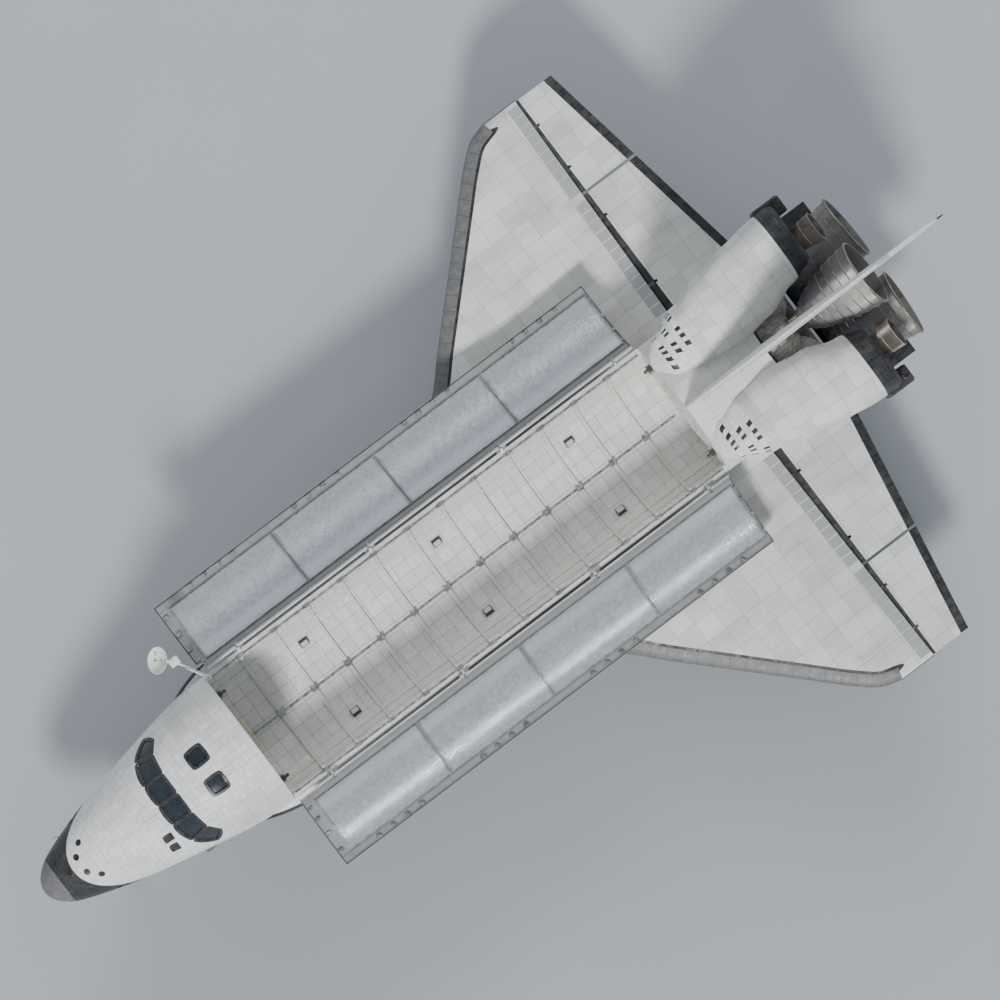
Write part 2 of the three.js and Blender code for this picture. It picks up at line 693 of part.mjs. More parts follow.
function buildEngines() {
  const domeArc = (radius, degrees) =>
    degrees.map((deg) => [radius * Math.cos(deg * DEG), radius * Math.sin(deg * DEG)]);
  const DOME_DEG = [22.5, 45, 67.5, 90];
  const domeProfile = [
    [ENGINE_BALL, 0], ...domeArc(ENGINE_BALL, DOME_DEG),
    ...domeArc(ENGINE_BALL - 3, [...DOME_DEG].reverse()), [ENGINE_BALL - 3, 0],
  ];
  const bellProfile = [[10, 0], [10, 9], [16, 15], [36, 15], ...bellOuter, ...bellInner];
  for (const [name, x, y, z, up, out] of engines) {
    const from = [stationX(x), mm(y), waterZ(z)];
    const aim = [Math.cos(up * DEG) * Math.cos(out * DEG), Math.sin(out * DEG), Math.sin(up * DEG)];
    const shapes = [domeProfile, bellProfile].map((profile) =>
      turned(profile.map(([along, radius]) => [mm(along), mm(radius)]), ENGINE_SIDES, from, aim),
    );
    const root = [x + 14 * Math.cos(up * DEG), z + 14 * Math.sin(up * DEG)];
    const ears = [-1, 1].map((side) =>
      eyeArm(root, [x, z], y + side * GIMBAL.ear, GIMBAL.width, GIMBAL.eye, GIMBAL.pin),
    );
    addPiece(`main_engine_${name}`, join(...shapes, ...ears), material.nozzle);
  }
}

function buildBodyFlap() {
  const round = [0, 30, 60, 90, 120, 150, 180].map((deg) => [
    FLAP_HINGE.x - FLAP_NOSE * Math.sin(deg * DEG),
    FLAP_HINGE.z + FLAP_NOSE * Math.cos(deg * DEG),
  ]);
  const outline = [
    ...round, [FLAP_END, FLAP_HINGE.z - 7.5], [FLAP_END, FLAP_HINGE.z - 5],
  ].map(([x, z]) => [stationX(x), waterZ(z)]);
  let flap = alongY(outline, -mm(FLAP_HALF), mm(FLAP_HALF));
  for (const y of FLAP_ARMS) {
    const half = FLAP_ARM.width / 2 + SLOT_SIDE;
    const slot = box(
      stationX(FLAP_HINGE.x - FLAP_NOSE - 1), stationX(FLAP_HINGE.x + FLAP_ARM.eye + 1),
      mm(y - half), mm(y + half), waterZ(FLAP_HINGE.z - FLAP_NOSE - 1),
      waterZ(FLAP_HINGE.z + FLAP_NOSE + 1),
    );
    const at = (v) => [stationX(FLAP_HINGE.x), mm(v), waterZ(FLAP_HINGE.z)];
    flap = flap.subtract(slot).add(rod(at(y - half - 1), at(y + half + 1), mm(FLAP_ARM.pin), PIN_SIDES));
  }
  addPiece("body_flap", flap, material.black);
}

// Pods for the manoeuvring engines, on the shoulders of the aft fuselage.
// Columns: station, inner side, outer side, bottom, top.
const podSections = [
  [1304, 50, 84, 462, 482],
  [1330, 36, 102, 446, 504],
  [1370, 27, 118, 436, 521],
  [1420, 23, 132, 430, 535],
  [1470, 30, 142, 428, 543],
  [1520, 46, 148, 428, 546],
  [1548, 54, 150, 430, 544],
  [1556, 58, 147, 438, 536],
];
const POD_POINTS = 20;
const POD_WALL = 6;
const POD_ENGINE = { x: 1518, y: 88, z: 492, tilt: 15, seat: -4.9, socket: 21.5 };

function podLoft(inset) {
  return loft(
    podSections.map(([station, inner, outer, bottom, top]) =>
      Array.from({ length: POD_POINTS }, (_, i) => {
        const angle = (2 * Math.PI * i) / POD_POINTS;
        const round = (v) => Math.sign(v) * Math.abs(v) ** 0.8;
        return [
          stationX(station),
          mm((inner + outer) / 2 + ((outer - inner) / 2 - inset) * round(Math.cos(angle))),
          waterZ((bottom + top) / 2 + ((top - bottom) / 2 - inset) * round(Math.sin(angle))),
        ];
      }),
    ),
  );
}

// Everything a piece must leave free to sit on the aft fuselage.
function aftKeepOut() {
  const body = aftSection(0);
  return join(
    body, body.translate([0, 0, GAP]), body.translate([0, GAP, 0]),
    body.translate([0, -GAP, 0]), body.translate([GAP, 0, 0]),
  );
}

function buildPods() {
  const keepOut = aftKeepOut();
  const thruster = alongX(
    [[128, 446], [154, 446], [154, 496], [128, 496]].map(([y, z]) => [mm(y), waterZ(z)]),
    stationX(1530), stationX(1573),
  );
  const engineFrom = [stationX(POD_ENGINE.x), mm(POD_ENGINE.y), waterZ(POD_ENGINE.z)];
  const tilt = POD_ENGINE.tilt * DEG;
  const aim = [Math.cos(tilt), 0, Math.sin(tilt)];
  const floor = POD_ENGINE.seat - GAP / INCH;
  const socket = turned(
    [[floor, 0], [floor, POD_ENGINE.socket], [80, POD_ENGINE.socket], [80, 0]].map((p) => p.map(mm)),
    24, engineFrom, aim,
  );
  const hollow = podLoft(POD_WALL).intersect(
    box(stationX(1320), stationX(1500), 0, mm(160), waterZ(400), waterZ(560)),
  );
  const [, topX, topY, topZ] = engines[0];
  const topBall = sphere([stationX(topX), mm(topY), waterZ(topZ)], mm(ENGINE_BALL + 2.4));
  // The hollow is open underneath, where the pod stands on the body.
  const deckCut = box(stationX(1330), stationX(1425), mm(40), mm(80), waterZ(430), waterZ(500));
  const pod = podLoft(0).add(thruster).subtract(hollow).subtract(deckCut)
    .subtract(keepOut).subtract(socket).subtract(topBall);
  const largest = pod.decompose().sort((a, b) => b.volume() - a.volume())[0];
  // Columns: distance from the pivot, radius.
  const profile = [
    [POD_ENGINE.seat, 0], [POD_ENGINE.seat, 12], [6, 12], [10, 6.5], [22, 11], [38, 16],
    [56, 19.6], [74, 21.3], [74, 20.3], [56, 18.6], [38, 15], [22, 10], [14, 6], [13, 0],
  ].map((p) => p.map(mm));
  const nozzle = turned(profile, 18, engineFrom, aim);
  for (const [name, side] of [["left", -1], ["right", 1]]) {
    const turn = (solid) => (side > 0 ? solid : mirrorY(solid));
    addPiece(`pod_${name}`, turn(largest), material.blanket);
    addPiece(`pod_engine_${name}`, turn(nozzle), material.nozzle);
  }
}

// Fin: a double wedge section whose thickest line is the rudder's hinge.
const finFront = (z) => 1280 + (z - 503) + Math.max(0, 540 - z) * 0.6;
const finBack = (z) => 1548.5 + (z - 503) * Math.tan(26.25 * DEG);
const rudderHinge = (z) => 1507.7 + (z - 606) * Math.tan(34.9 * DEG);
const finHalf = (z) => 7 - (3.6 * (z - 503)) / 316;
const hingeFace = (z) => rudderHinge(z) - 1.2 * finHalf(z) - 0.4;
const RUDDER_PIN = { radius: 1.5, reach: 6 };
const HINGE_SWEEP = 34.9 * DEG;
const hingeDirection = [Math.sin(HINGE_SWEEP), 0, Math.cos(HINGE_SWEEP)];

// The part of a solid above, or below, a plane square to the rudder's hinge.
function trimAtHinge(solid, waterline, above) {
  const normal = above ? hingeDirection : hingeDirection.map((v) => -v);
  const point = [stationX(rudderHinge(waterline)), 0, waterZ(waterline)];
  const offset = point.reduce((sum, v, k) => sum + v * normal[k], 0);
  return solid.trimByPlane(normal, offset);
}

function buildFin() {
  const section = (z, back, backHalf) => {
    const front = finFront(z);
    const thick = finHalf(z);
    const peak = Math.min(hingeFace(z), back - 0.1);
    const quarter = front + (peak - front) * 0.3;
    const side = [
      [front, 0.5], [front + 3, 1.6], [quarter, thick * 0.72], [peak, thick], [back, backHalf],
    ];
    return [...side, ...side.map(([x, y]) => [x, -y]).reverse()].map(([x, y]) => [
      stationX(x), mm(y), waterZ(z),
    ]);
  };
  const spar = (z) => section(z, hingeFace(z) + 0.1, finHalf(z));
  const whole = (z) => section(z, finBack(z), 0.8);
  const base = FIN_BASE + GAP / INCH;
  const front = loft([base, 540, FIN_TIP].map(spar));
  const foot = trimAtHinge(loft([base, 540, 700].map(whole)), RUDDER_LOW - 1.5, false);
  const cap = trimAtHinge(loft([700, FIN_TIP].map(whole)), RUDDER_HIGH + 1.5, true);
  // The foot's underside rises aft, clear of the upper engine's bell.
  const bellRoom = alongY(
    [[1490, 490], [1640, 490], [1640, 618], [1490, 499.9]].map(([x, z]) => [stationX(x), waterZ(z)]),
    -mm(20), mm(20),
  );
  // The rudder turns on a tapering shaft, and its two panels open on that shaft as air brakes.
  const coreRadius = (z) => finHalf(z) - 0.9;
  const at = (z) => [stationX(rudderHinge(z)), 0, waterZ(z)];
  const { radius, reach } = RUDDER_PIN;
  const pin = rod(at(RUDDER_LOW - reach), at(RUDDER_HIGH + reach), mm(radius), PIN_SIDES);
  const bore = boreFor(at(RUDDER_LOW - reach - 1), at(RUDDER_HIGH + reach + 1), radius);
  addPiece("fin", join(front, foot, cap).subtract(bellRoom).subtract(bore), material.white);
  const core = rod(
    at(RUDDER_LOW - 1), at(RUDDER_HIGH + 1), mm(coreRadius(RUDDER_LOW)), 28,
    mm(coreRadius(RUDDER_HIGH)),
  );
  addPiece("rudder_shaft", core.add(pin), material.metal);
  const panelRing = (z) => {
    const core = coreRadius(z) * 1.026 + 0.02;
    const half = finHalf(z);
    const hinge = rudderHinge(z);
    const end = finBack(z);
    const inner = [90, 65, 40, 20].map((deg) => [
      hinge + (core / Math.cos(HINGE_SWEEP)) * Math.cos(deg * DEG), core * Math.sin(deg * DEG),
    ]);
    return [...inner, [hinge + core * 1.25, 0.25], [end, 0.25], [end, 1], [hinge, half]].map(
      ([x, y]) => [stationX(x), mm(y), waterZ(z)],
    );
  };
  const panel = trimAtHinge(
    trimAtHinge(loft([panelRing(540), panelRing(830)]), RUDDER_LOW, true), RUDDER_HIGH, false,
  );
  addPiece("rudder_panel_right", panel, material.white);
  addPiece("rudder_panel_left", mirrorY(panel), material.white);
}

// Payload bay doors, built shut and then turned open about their hinges on the sill.
const DOOR_FROM = BAY_FRONT + 0.5;
const DOOR_TO = BAY_BACK - 0.5;
const doorArc = (radius, degrees) =>
  degrees.map((deg) => [radius * Math.cos(deg * DEG), DOOR_CENTRE + radius * Math.sin(deg * DEG)]);
const DOOR_DEG = [11, 15, 22.5, 30, 37.5, 45, 52.5, 60, 67.5, 75, 82.5, 89.7];
const PANEL_DEG = DOOR_DEG.slice(2, -1);

function curvedPlate(outerRadius, innerRadius, degrees, from, to) {
  const outline = [...doorArc(outerRadius, degrees), ...doorArc(innerRadius, [...degrees].reverse())];
  return alongX(outline.map(([y, z]) => [mm(y), waterZ(z)]), stationX(from), stationX(to));
}

const DOOR_LUGS = [640, 860, 1080, 1270];

function buildDoors() {
  const inside = DOOR_RADIUS - DOOR_THICK;
  const touch = GAP / INCH;
  const pieces = (side) => {
    let door = curvedPlate(DOOR_RADIUS, inside, DOOR_DEG, DOOR_FROM, DOOR_TO);
    // The front lower corner of the starboard door leaves room for the antenna's arm.
    if (side > 0)
      door = door.subtract(
        box(stationX(570), stationX(591), mm(80), mm(120), waterZ(405), waterZ(440)),
      );
    // At each hinge plate the door's edge is notched, between two knuckles that hold the pin.
    const { y, z, pin, knuckle, notch } = DOOR_HINGE;
    for (const station of DOOR_LUGS) {
      const onHinge = (along) => [stationX(station + along), mm(y), waterZ(z)];
      const edge = box(
        stationX(station - notch), stationX(station + notch), mm(90), mm(110), waterZ(SILL), waterZ(419),
      );
      door = join(
        door.subtract(edge),
        rod(onHinge(notch), onHinge(8), mm(knuckle), 10),
        rod(onHinge(-8), onHinge(-notch), mm(knuckle), 10),
        rod(onHinge(-3), onHinge(3), mm(pin), PIN_SIDES),
      );
    }
    const radiator = (from, to) =>
      curvedPlate(inside - touch, inside - RADIATOR_THICK, PANEL_DEG, from, to);
    return {
      payload_door: [door, material.white],
      radiator_front: [radiator(DOOR_FROM + 16, RADIATOR_SPLIT - 1), material.radiator],
      radiator_rear: [radiator(RADIATOR_SPLIT + 1, DOOR_TO - 4), material.radiator],
    };
  };
  for (const [name, side] of [["left", -1], ["right", 1]]) {
    const hinge = [0, mm(side * DOOR_HINGE.y), waterZ(DOOR_HINGE.z)];
    const group = new THREE.Group();
    group.position.set(...hinge);
    group.rotation.x = -side * DOOR_OPEN_DEG * DEG;
    for (const [piece, [solid, look]] of Object.entries(pieces(side))) {
      const turn = side > 0 ? solid : mirrorY(solid);
      addPiece(`${piece}_${name}`, turn.translate(hinge.map((v) => -v)), look, group);
    }
    shuttle.add(group);
  }
}

// Landing gear. Each axle turns with its two wheels in the eye at the foot of the leg.
const WHEEL_STEPS = 18;
const HUB_STEPS = WHEEL_STEPS;
const EYE_BORE = 3.5;

function tyreAt(centre, { radius, width }, rim) {
  const h = width / 2;
  const profile = [
    [-h * 0.84, rim], [-h, rim + (radius - rim) * 0.4], [-h * 0.93, radius * 0.9],
    [-h * 0.55, radius * 0.985], [0, radius], [h * 0.55, radius * 0.985],
    [h * 0.93, radius * 0.9], [h, rim + (radius - rim) * 0.4], [h * 0.84, rim],
    [-h * 0.84, rim],
  ].map((p) => p.map(mm));
  return turned(profile, WHEEL_STEPS, centre, [0, 1, 0]);
}

function wheelPair(centre, tyre, rim, axle) {
  const near = tyre.offset - tyre.width * 0.42;
  const far = tyre.offset + tyre.width * 0.42;
  const half = [
    [far - 1.2, 0], [far - 1.2, axle], [far - 3.6, rim * 0.75], [far, rim * 0.92], [far, rim],
    [near, rim], [near, rim * 0.88], [near + 1.6, axle],
  ];
  const other = half.map(([along, radius]) => [-along, radius]).reverse();
  return turned([...half, ...other].map((p) => p.map(mm)), HUB_STEPS, centre, [0, 1, 0]);
}

function legAt(x, y, top, axleZ, sizes) {
  const { barrel, piston, split, eye, axle } = sizes;
  const point = (z) => [stationX(x), mm(y), waterZ(z)];
  const foot = rod(
    [stationX(x), mm(y - eye.half), waterZ(axleZ)], [stationX(x), mm(y + eye.half), waterZ(axleZ)],
    mm(eye.radius), WHEEL_STEPS,
  );
  const bore = boreFor(
    [stationX(x), mm(y - 20), waterZ(axleZ)], [stationX(x), mm(y + 20), waterZ(axleZ)], axle, HUB_STEPS,
  );
  const slider = rod(point(axleZ), point(split), mm(piston)).add(foot).subtract(bore);
  return { barrel: rod(point(split), point(top), mm(barrel), 14), slider };
}

// A pair of scissor links behind a leg, from the barrel to the foot.
function scissorLinks(x, y, high, low, reach) {
  const knee = [stationX(x + reach), mm(y), waterZ((high + low) / 2)];
  return join(
    rod([stationX(x + 2), mm(y), waterZ(high)], knee, mm(1.5), 8),
    rod([stationX(x + 2), mm(y), waterZ(low)], knee, mm(1.5), 8),
  );
}

function buildMainGear() {
  const axleZ = GROUND_WATERLINE + MAIN_TYRE.radius;
  const rim = 10.5;
  for (const [name, side] of [["left", -1], ["right", 1]]) {
    const y = side * MAIN_AXLE.y;
    const x = MAIN_AXLE.x;
    const leg = legAt(x, y, MAIN_WELL.top - GAP / INCH, axleZ, {
      barrel: 6, piston: 4, split: 212, axle: EYE_BORE, eye: { half: 8, radius: 6 },
    });
    const point = (px, py, pz) => [stationX(px), mm(py), waterZ(pz)];
    const strut = join(
      leg.barrel, leg.slider,
      rod(point(x, y, 228), point(x - 78, y, MAIN_WELL.top - 3), mm(2.6), 10),
      box(
        stationX(x - 84), stationX(x - 72), mm(y - 8), mm(y + 8),
        waterZ(MAIN_WELL.top - 8), waterZ(MAIN_WELL.top) - GAP,
      ),
      scissorLinks(x, y, 222, 172, 16),
    );
    addPiece(`main_leg_${name}`, strut, material.gear);
    const centre = point(x, y, axleZ);
    addPiece(`main_hubs_${name}`, wheelPair(centre, MAIN_TYRE, rim, EYE_BORE), material.metal);
    for (const [place, offset] of [["inner", -side], ["outer", side]])
      addPiece(
        `main_tyre_${place}_${name}`,
        tyreAt(point(x, y + offset * MAIN_TYRE.offset, axleZ), MAIN_TYRE, rim + GAP / INCH),
        material.tyre,
      );
    const doorSide = [side * (MAIN_WELL.outer + 0.3), side * (MAIN_WELL.outer + 2.3)];
    const wingBelow = wingBase(MAIN_WELL.outer);
    const [y0, y1] = doorSide.sort((a, b) => a - b);
    const door = alongX(
      [
        [y0, wingBase(Math.abs(y0))], [y1, wingBase(Math.abs(y1))],
        [y1, wingBelow - 54], [y0, wingBelow - 54],
      ].map(([py, pz]) => [mm(py), waterZ(pz) - GAP]),
      stationX(MAIN_WELL.front + 1), stationX(MAIN_WELL.back - 1),
    );
    addPiece(`main_gear_door_${name}`, door, material.black);
  }
}

function buildNoseGear() {
  const axleZ = GROUND_WATERLINE + NOSE_TYRE.radius;
  const rim = 8;
  const axle = 2;
  const { x } = NOSE_AXLE;
  const split = 206;
  const leg = legAt(x, 0, WELL.top - (2 * GAP) / INCH, axleZ, {
    barrel: 5, piston: 3.2, split, axle, eye: { half: 4.6, radius: 4 },
  });
  const point = (px, pz) => [stationX(px), 0, waterZ(pz)];
  const upper = join(
    leg.barrel,
    rod(point(x, 222), point(x - 38, WELL.top - 3), mm(2.2), 10),
    box(
      stationX(x - 44), stationX(x - 32), -mm(12), mm(12),
      waterZ(WELL.top - 7), waterZ(WELL.top) - 2 * GAP,
    ),
  );
  addPiece("nose_leg", upper.translate([0, 0, GAP]), material.gear);
  const collar = rod(point(x, split - 7), point(x, split), mm(5.6), 14);
  const steer = join(leg.slider, collar, scissorLinks(x, 0, split - 4, 163, 11));
  addPiece("nose_steering", steer, material.gear);
  addPiece("nose_hubs", wheelPair(point(x, axleZ), NOSE_TYRE, rim, axle), material.metal);
  const body = bodyLoft(forwardSections).translate([0, 0, -GAP]);
  for (const [name, side] of [["left", -1], ["right", 1]]) {
    addPiece(
      `nose_tyre_${name}`,
      tyreAt([stationX(x), mm(side * NOSE_TYRE.offset), waterZ(axleZ)], NOSE_TYRE, rim + GAP / INCH),
      material.tyre,
    );
    const [y0, y1] = [side * (WELL.half + 0.2), side * (WELL.half + 1.9)].sort((a, b) => a - b);
    const door = alongY(
      [[WELL.front + 1, 300], [WELL.back - 1, 300], [WELL.back - 1, 253], [WELL.front + 1, 266]]
        .map(([px, pz]) => [stationX(px), waterZ(pz)]),
      mm(y0), mm(y1),
    ).subtract(body);
    addPiece(`nose_gear_door_${name}`, door, material.black);
  }
}

// The dish antenna on the starboard sill, swung out ahead of the door.
const ANTENNA = { x: 586, y: 96, z: 431 };
function buildAntenna() {
  const { x, y, z } = ANTENNA;
  const point = (px, py, pz) => [stationX(px), mm(py), waterZ(pz)];
  const head = point(551, 150, 446);
  const arm = join(
    rod(point(x, y, SILL + GAP / INCH), point(x, y, z + 2), mm(2), 12),
    rod(point(x, y, z), point(561, 141, z), mm(2), 10),
    box(stationX(554), stationX(568), mm(135), mm(147), waterZ(z - 3), waterZ(z + 13)),
  );
  addPiece("antenna_arm", arm, material.white);
  const aim = [-0.55, 0.45, 0.7];
  const dish = turned(
    [
      [0, 0], [0, 2.4], [3, 2.4], [4, 6], [6, 11], [9, 15], [13, 18], [13.4, 17.6],
      [10, 14.4], [7.4, 10.6], [5.6, 6], [5, 0],
    ].map((p) => p.map(mm)),
    16, head, aim,
  );
  const stem = rod(point(561, 141, z + 12), head, mm(2.3), 10);
  const whole = dish.add(stem).subtract(arm.translate([0, 0, GAP])).subtract(arm.translate([-GAP, 0, 0]));
  const largest = whole.decompose().sort((a, b) => b.volume() - a.volume())[0];
  addPiece("antenna_dish", largest, material.white);
}

buildForwardFuselage();
buildFlightDeck();
buildCabinBulkhead();
buildMidFuselage();
for (const [name, side] of [["left", -1], ["right", 1]]) {
  buildWing(name, side);
  buildElevons(name, side);
}
buildAftFuselage();
buildEngines();
buildBodyFlap();
buildPods();
buildFin();
buildDoors();
buildMainGear();
buildNoseGear();
buildAntenna();

export default shuttle;
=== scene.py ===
"""The finish of a winged orbital space shuttle, built round its CAD frame.

Metres. +X runs aft, +Y to starboard and +Z up. The vehicle is drawn in inches: stations run aft,
sides run out from the centre line, and waterlines run up. Most shapes are drawn to starboard and
mirrored to port.
"""

import math
from functools import cache, partialmethod

import bpy
import numpy as np
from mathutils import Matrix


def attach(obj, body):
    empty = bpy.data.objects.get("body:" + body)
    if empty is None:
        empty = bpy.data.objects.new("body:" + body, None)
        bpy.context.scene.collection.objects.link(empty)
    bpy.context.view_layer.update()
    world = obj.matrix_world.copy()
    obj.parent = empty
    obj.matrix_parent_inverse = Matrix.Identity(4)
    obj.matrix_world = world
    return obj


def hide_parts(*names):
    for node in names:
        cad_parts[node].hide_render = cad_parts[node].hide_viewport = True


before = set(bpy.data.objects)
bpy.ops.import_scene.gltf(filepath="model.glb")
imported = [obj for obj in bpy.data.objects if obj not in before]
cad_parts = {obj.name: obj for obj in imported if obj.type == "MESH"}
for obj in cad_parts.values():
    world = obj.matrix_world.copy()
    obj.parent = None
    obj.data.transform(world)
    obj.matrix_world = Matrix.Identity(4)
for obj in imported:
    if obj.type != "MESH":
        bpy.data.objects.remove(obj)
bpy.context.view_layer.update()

INCH = 0.0254
MID_STATION = 971
GROUND_WATERLINE = 139
DEG = math.pi / 180
# Columns: a side's name, and its sign along Y.
SIDES = (("left", -1), ("right", 1))


def place(points):
    """Inches as station, side and waterline, turned into metres in the vehicle's frame."""
    return (np.asarray(points, float) - (MID_STATION, 0, GROUND_WATERLINE)) * INCH


def in_inches(points):
    """Metres in the vehicle's frame, turned into inches as station, side and waterline."""
    return points / INCH + (MID_STATION, 0, GROUND_WATERLINE)


def station_at(x):
    """The plain number of metres along X of a station."""
    return (x - MID_STATION) * INCH


def height_at(z):
    """The plain number of metres up of a waterline."""
    return (z - GROUND_WATERLINE) * INCH


# Camera, floor and light

# The photo looks straight down, a little from ahead, with the nose at the lower left.
VIEW_RIGHT = np.array([0.798, -0.603, 0.0])
VIEW_LEAN = 2.5 * DEG
VIEW_CENTRE = (1.85, 1.3, 3.6)
VIEW_WIDTH = 34.2
LENS = 400
SENSOR = 36
FARTHEST_SEEN = 6000
SKY_COLOUR = (0.80, 0.86, 0.95, 1)
SKY_STRENGTH = 0.5
# Columns: name, strength, angular size in degrees, turn about X, turn about Z.
SUNS = (("key", 3.3, 10, 44, -38), ("rim", 0.8, 30, 58, 150))
FLOOR_HALF = 60000


def make_camera():
    """A long lens above the vehicle, as wide as the vehicle needs."""
    data = bpy.data.cameras.new("camera")
    data.lens = LENS
    data.sensor_width = SENSOR
    data.clip_end = FARTHEST_SEEN
    camera = bpy.data.objects.new("camera", data)
    bpy.context.scene.collection.objects.link(camera)
    back = np.array([-math.sin(VIEW_LEAN), 0, math.cos(VIEW_LEAN)])
    right = VIEW_RIGHT - back * (VIEW_RIGHT @ back)
    right /= np.linalg.norm(right)
    up = np.cross(back, right)
    where = np.array(VIEW_CENTRE) + back * VIEW_WIDTH * LENS / SENSOR
    matrix = np.eye(4)
    matrix[:3] = np.stack([right, up, back, where], 1)
    camera.matrix_world = matrix.T.tolist()
    bpy.context.scene.camera = camera


def make_lights():
    """A broad key light from port and ahead, a weaker one from astern, and an even pale sky."""
    world = bpy.data.worlds.new("sky")
    bpy.context.scene.world = world
    world.use_nodes = True
    background = world.node_tree.nodes["Background"]
    background.inputs["Color"].default_value = SKY_COLOUR
    background.inputs["Strength"].default_value = SKY_STRENGTH
    for name, energy, size, tilt, turn in SUNS:
        data = bpy.data.lights.new(name, "SUN")
        data.energy = energy
        data.angle = size * DEG
        light = bpy.data.objects.new(name, data)
        light.rotation_euler = (tilt * DEG, 0, turn * DEG)
        bpy.context.scene.collection.objects.link(light)


# Shader maths


class Wire:
    """An output socket in a material's node tree. Arithmetic on it adds Math nodes."""

    def __init__(self, tree, socket=None):
        self.tree = tree
        self.socket = socket

    def node(self, kind, settings=None, inputs=None, output=0):
        """Adds a node of a type, sets its settings, then sets or links its inputs."""
        made = self.tree.nodes.new("ShaderNode" + kind)
        for key, value in (settings or {}).items():
            if key == "stops":
                set_stops(made.color_ramp, value)
            else:
                setattr(made, key, value)
        for key, value in (inputs or {}).items():
            if isinstance(value, Wire):
                self.tree.links.new(value.socket, made.inputs[key])
            else:
                made.inputs[key].default_value = value
        return Wire(self.tree, made.outputs[output])

    def math(self, operation, *others):
        """Adds a Math node whose first input is this wire."""
        return self.node("Math", {"operation": operation}, dict(enumerate((self, *others))))

    __add__ = __radd__ = partialmethod(math, "ADD")
    __sub__ = partialmethod(math, "SUBTRACT")
    __mul__ = __rmul__ = partialmethod(math, "MULTIPLY")
    __truediv__ = partialmethod(math, "DIVIDE")
    __pow__ = partialmethod(math, "POWER")
    abs = partialmethod(math, "ABSOLUTE")
    larger = partialmethod(math, "MAXIMUM")
    smaller = partialmethod(math, "MINIMUM")

    def __rsub__(self, other):
        return self.node("Math", {"operation": "SUBTRACT"}, {0: other, 1: self})

    def ramp(self, low, high, start=0.0, end=1.0):
        """Goes smoothly from start, where the value is low, to end, where it is high."""
        settings = {"interpolation_type": "SMOOTHSTEP"}
        inputs = {"Value": self, "From Min": low, "From Max": high, "To Min": start, "To Max": end}
        return self.node("MapRange", settings, inputs)

    def seam(self, pitch, width):
        """1 on evenly spaced lines of that width, and 0 between them."""
        far = (self / pitch).math("FRACT") - 0.5
        half = 0.5 * width / pitch
        return far.abs().ramp(0.5 - 1.6 * half, 0.5 - 0.6 * half)

    def cell(self, pitch):
        """The number of the stretch between two such lines."""
        return (self / pitch).math("FLOOR")

    def odd(self):
        """1 for an odd whole number and 0 for an even one."""
        return self.math("PINGPONG", 1)


def set_stops(ramp, stops):
    """Gives a colour ramp its stops, each a place and a colour."""
    while len(ramp.elements) > 1:
        ramp.elements.remove(ramp.elements[0])
    for number, (position, colour) in enumerate(stops):
        element = ramp.elements[0] if number == 0 else ramp.elements.new(position)
        element.position = position
        element.color = (*colour, 1)


def opaque(colour):
    """A colour with its fourth number. A single number stands for a grey, and a wire stays as it is."""
    if isinstance(colour, Wire):
        return colour
    return (*colour, 1) if isinstance(colour, tuple) else (colour, colour, colour, 1)


def mix(mask, first, second):
    """The first colour where the mask is 0 and the second where it is 1."""
    inputs = {0: mask, 6: opaque(first), 7: opaque(second)}
    return mask.node("Mix", {"data_type": "RGBA"}, inputs, output=2)


def lattice(u, v, pitch, width, other_pitch=None):
    """1 on the seams between square cells, or between oblong ones with another pitch along v."""
    return u.seam(pitch, width).larger(v.seam(other_pitch or pitch, width))


class Finish:
    """A material under construction: its places, its noises and its closing shader."""

    def __init__(self, name):
        self.material = bpy.data.materials.new(name)
        self.material.use_nodes = True
        tree = self.material.node_tree
        self.shader = tree.nodes["Principled BSDF"]
        self.wire = Wire(tree)
        self.point = self.wire.node("TexCoord", output="Object")
        self.x, self.y, self.z = self.split(self.point)

    def split(self, vector):
        """A vector's three parts."""
        first = self.wire.node("SeparateXYZ", inputs={0: vector})
        return [Wire(first.tree, first.socket.node.outputs[k]) for k in range(3)]

    def normal(self):
        """The three parts of the surface's own direction."""
        return self.split(self.wire.node("NewGeometry", output="Normal"))

    def noise(self, scale, detail=4, roughness=0.55, stretch=(1, 1, 1)):
        """Cloudy noise of about that many lumps a metre, drawn out along the axes."""
        point = self.wire.node("Mapping", inputs={"Vector": self.point, "Scale": stretch})
        inputs = {"Vector": point, "Scale": scale, "Detail": detail, "Roughness": roughness}
        return self.wire.node("TexNoise", inputs=inputs)

    def chance(self, first, second, third=0.0):
        """A number from 0 to 1 for each cell."""
        cell = self.wire.node("CombineXYZ", inputs={0: first, 1: second, 2: third})
        return self.wire.node("TexWhiteNoise", {"noise_dimensions": "3D"}, {"Vector": cell})

    def around(self, waterline, radius, side=None):
        """The way round a line along the body, as metres on a circle of that many inches."""
        out = self.y if side is None else self.y.abs() - side * INCH
        return out.math("ARCTAN2", self.z - height_at(waterline)) * (radius * INCH)

    def done(self, colour, roughness, height=None, depth=0.002, metallic=0.0, **fixed):
        """Links what varies, and sets what is the same all over on the shader itself."""
        links = {"Base Color": colour, "Roughness": roughness, "Metallic": metallic}
        if height is not None:
            inputs = {"Height": height, "Distance": depth, "Strength": 1.0}
            links["Normal"] = self.wire.node("Bump", inputs=inputs)
        for key, value in {**links, **fixed}.items():
            if isinstance(value, Wire):
                value.tree.links.new(value.socket, self.shader.inputs[key])
            else:
                self.shader.inputs[key].default_value = value
        return self.material


def material(fill):
    """Makes a material once, named after the function that fills it in, and then hands it out."""

    @cache
    def made():
        return fill(Finish(fill.__name__))

    return made


# Tiles and blankets. A skin is a colour, a roughness and a height.

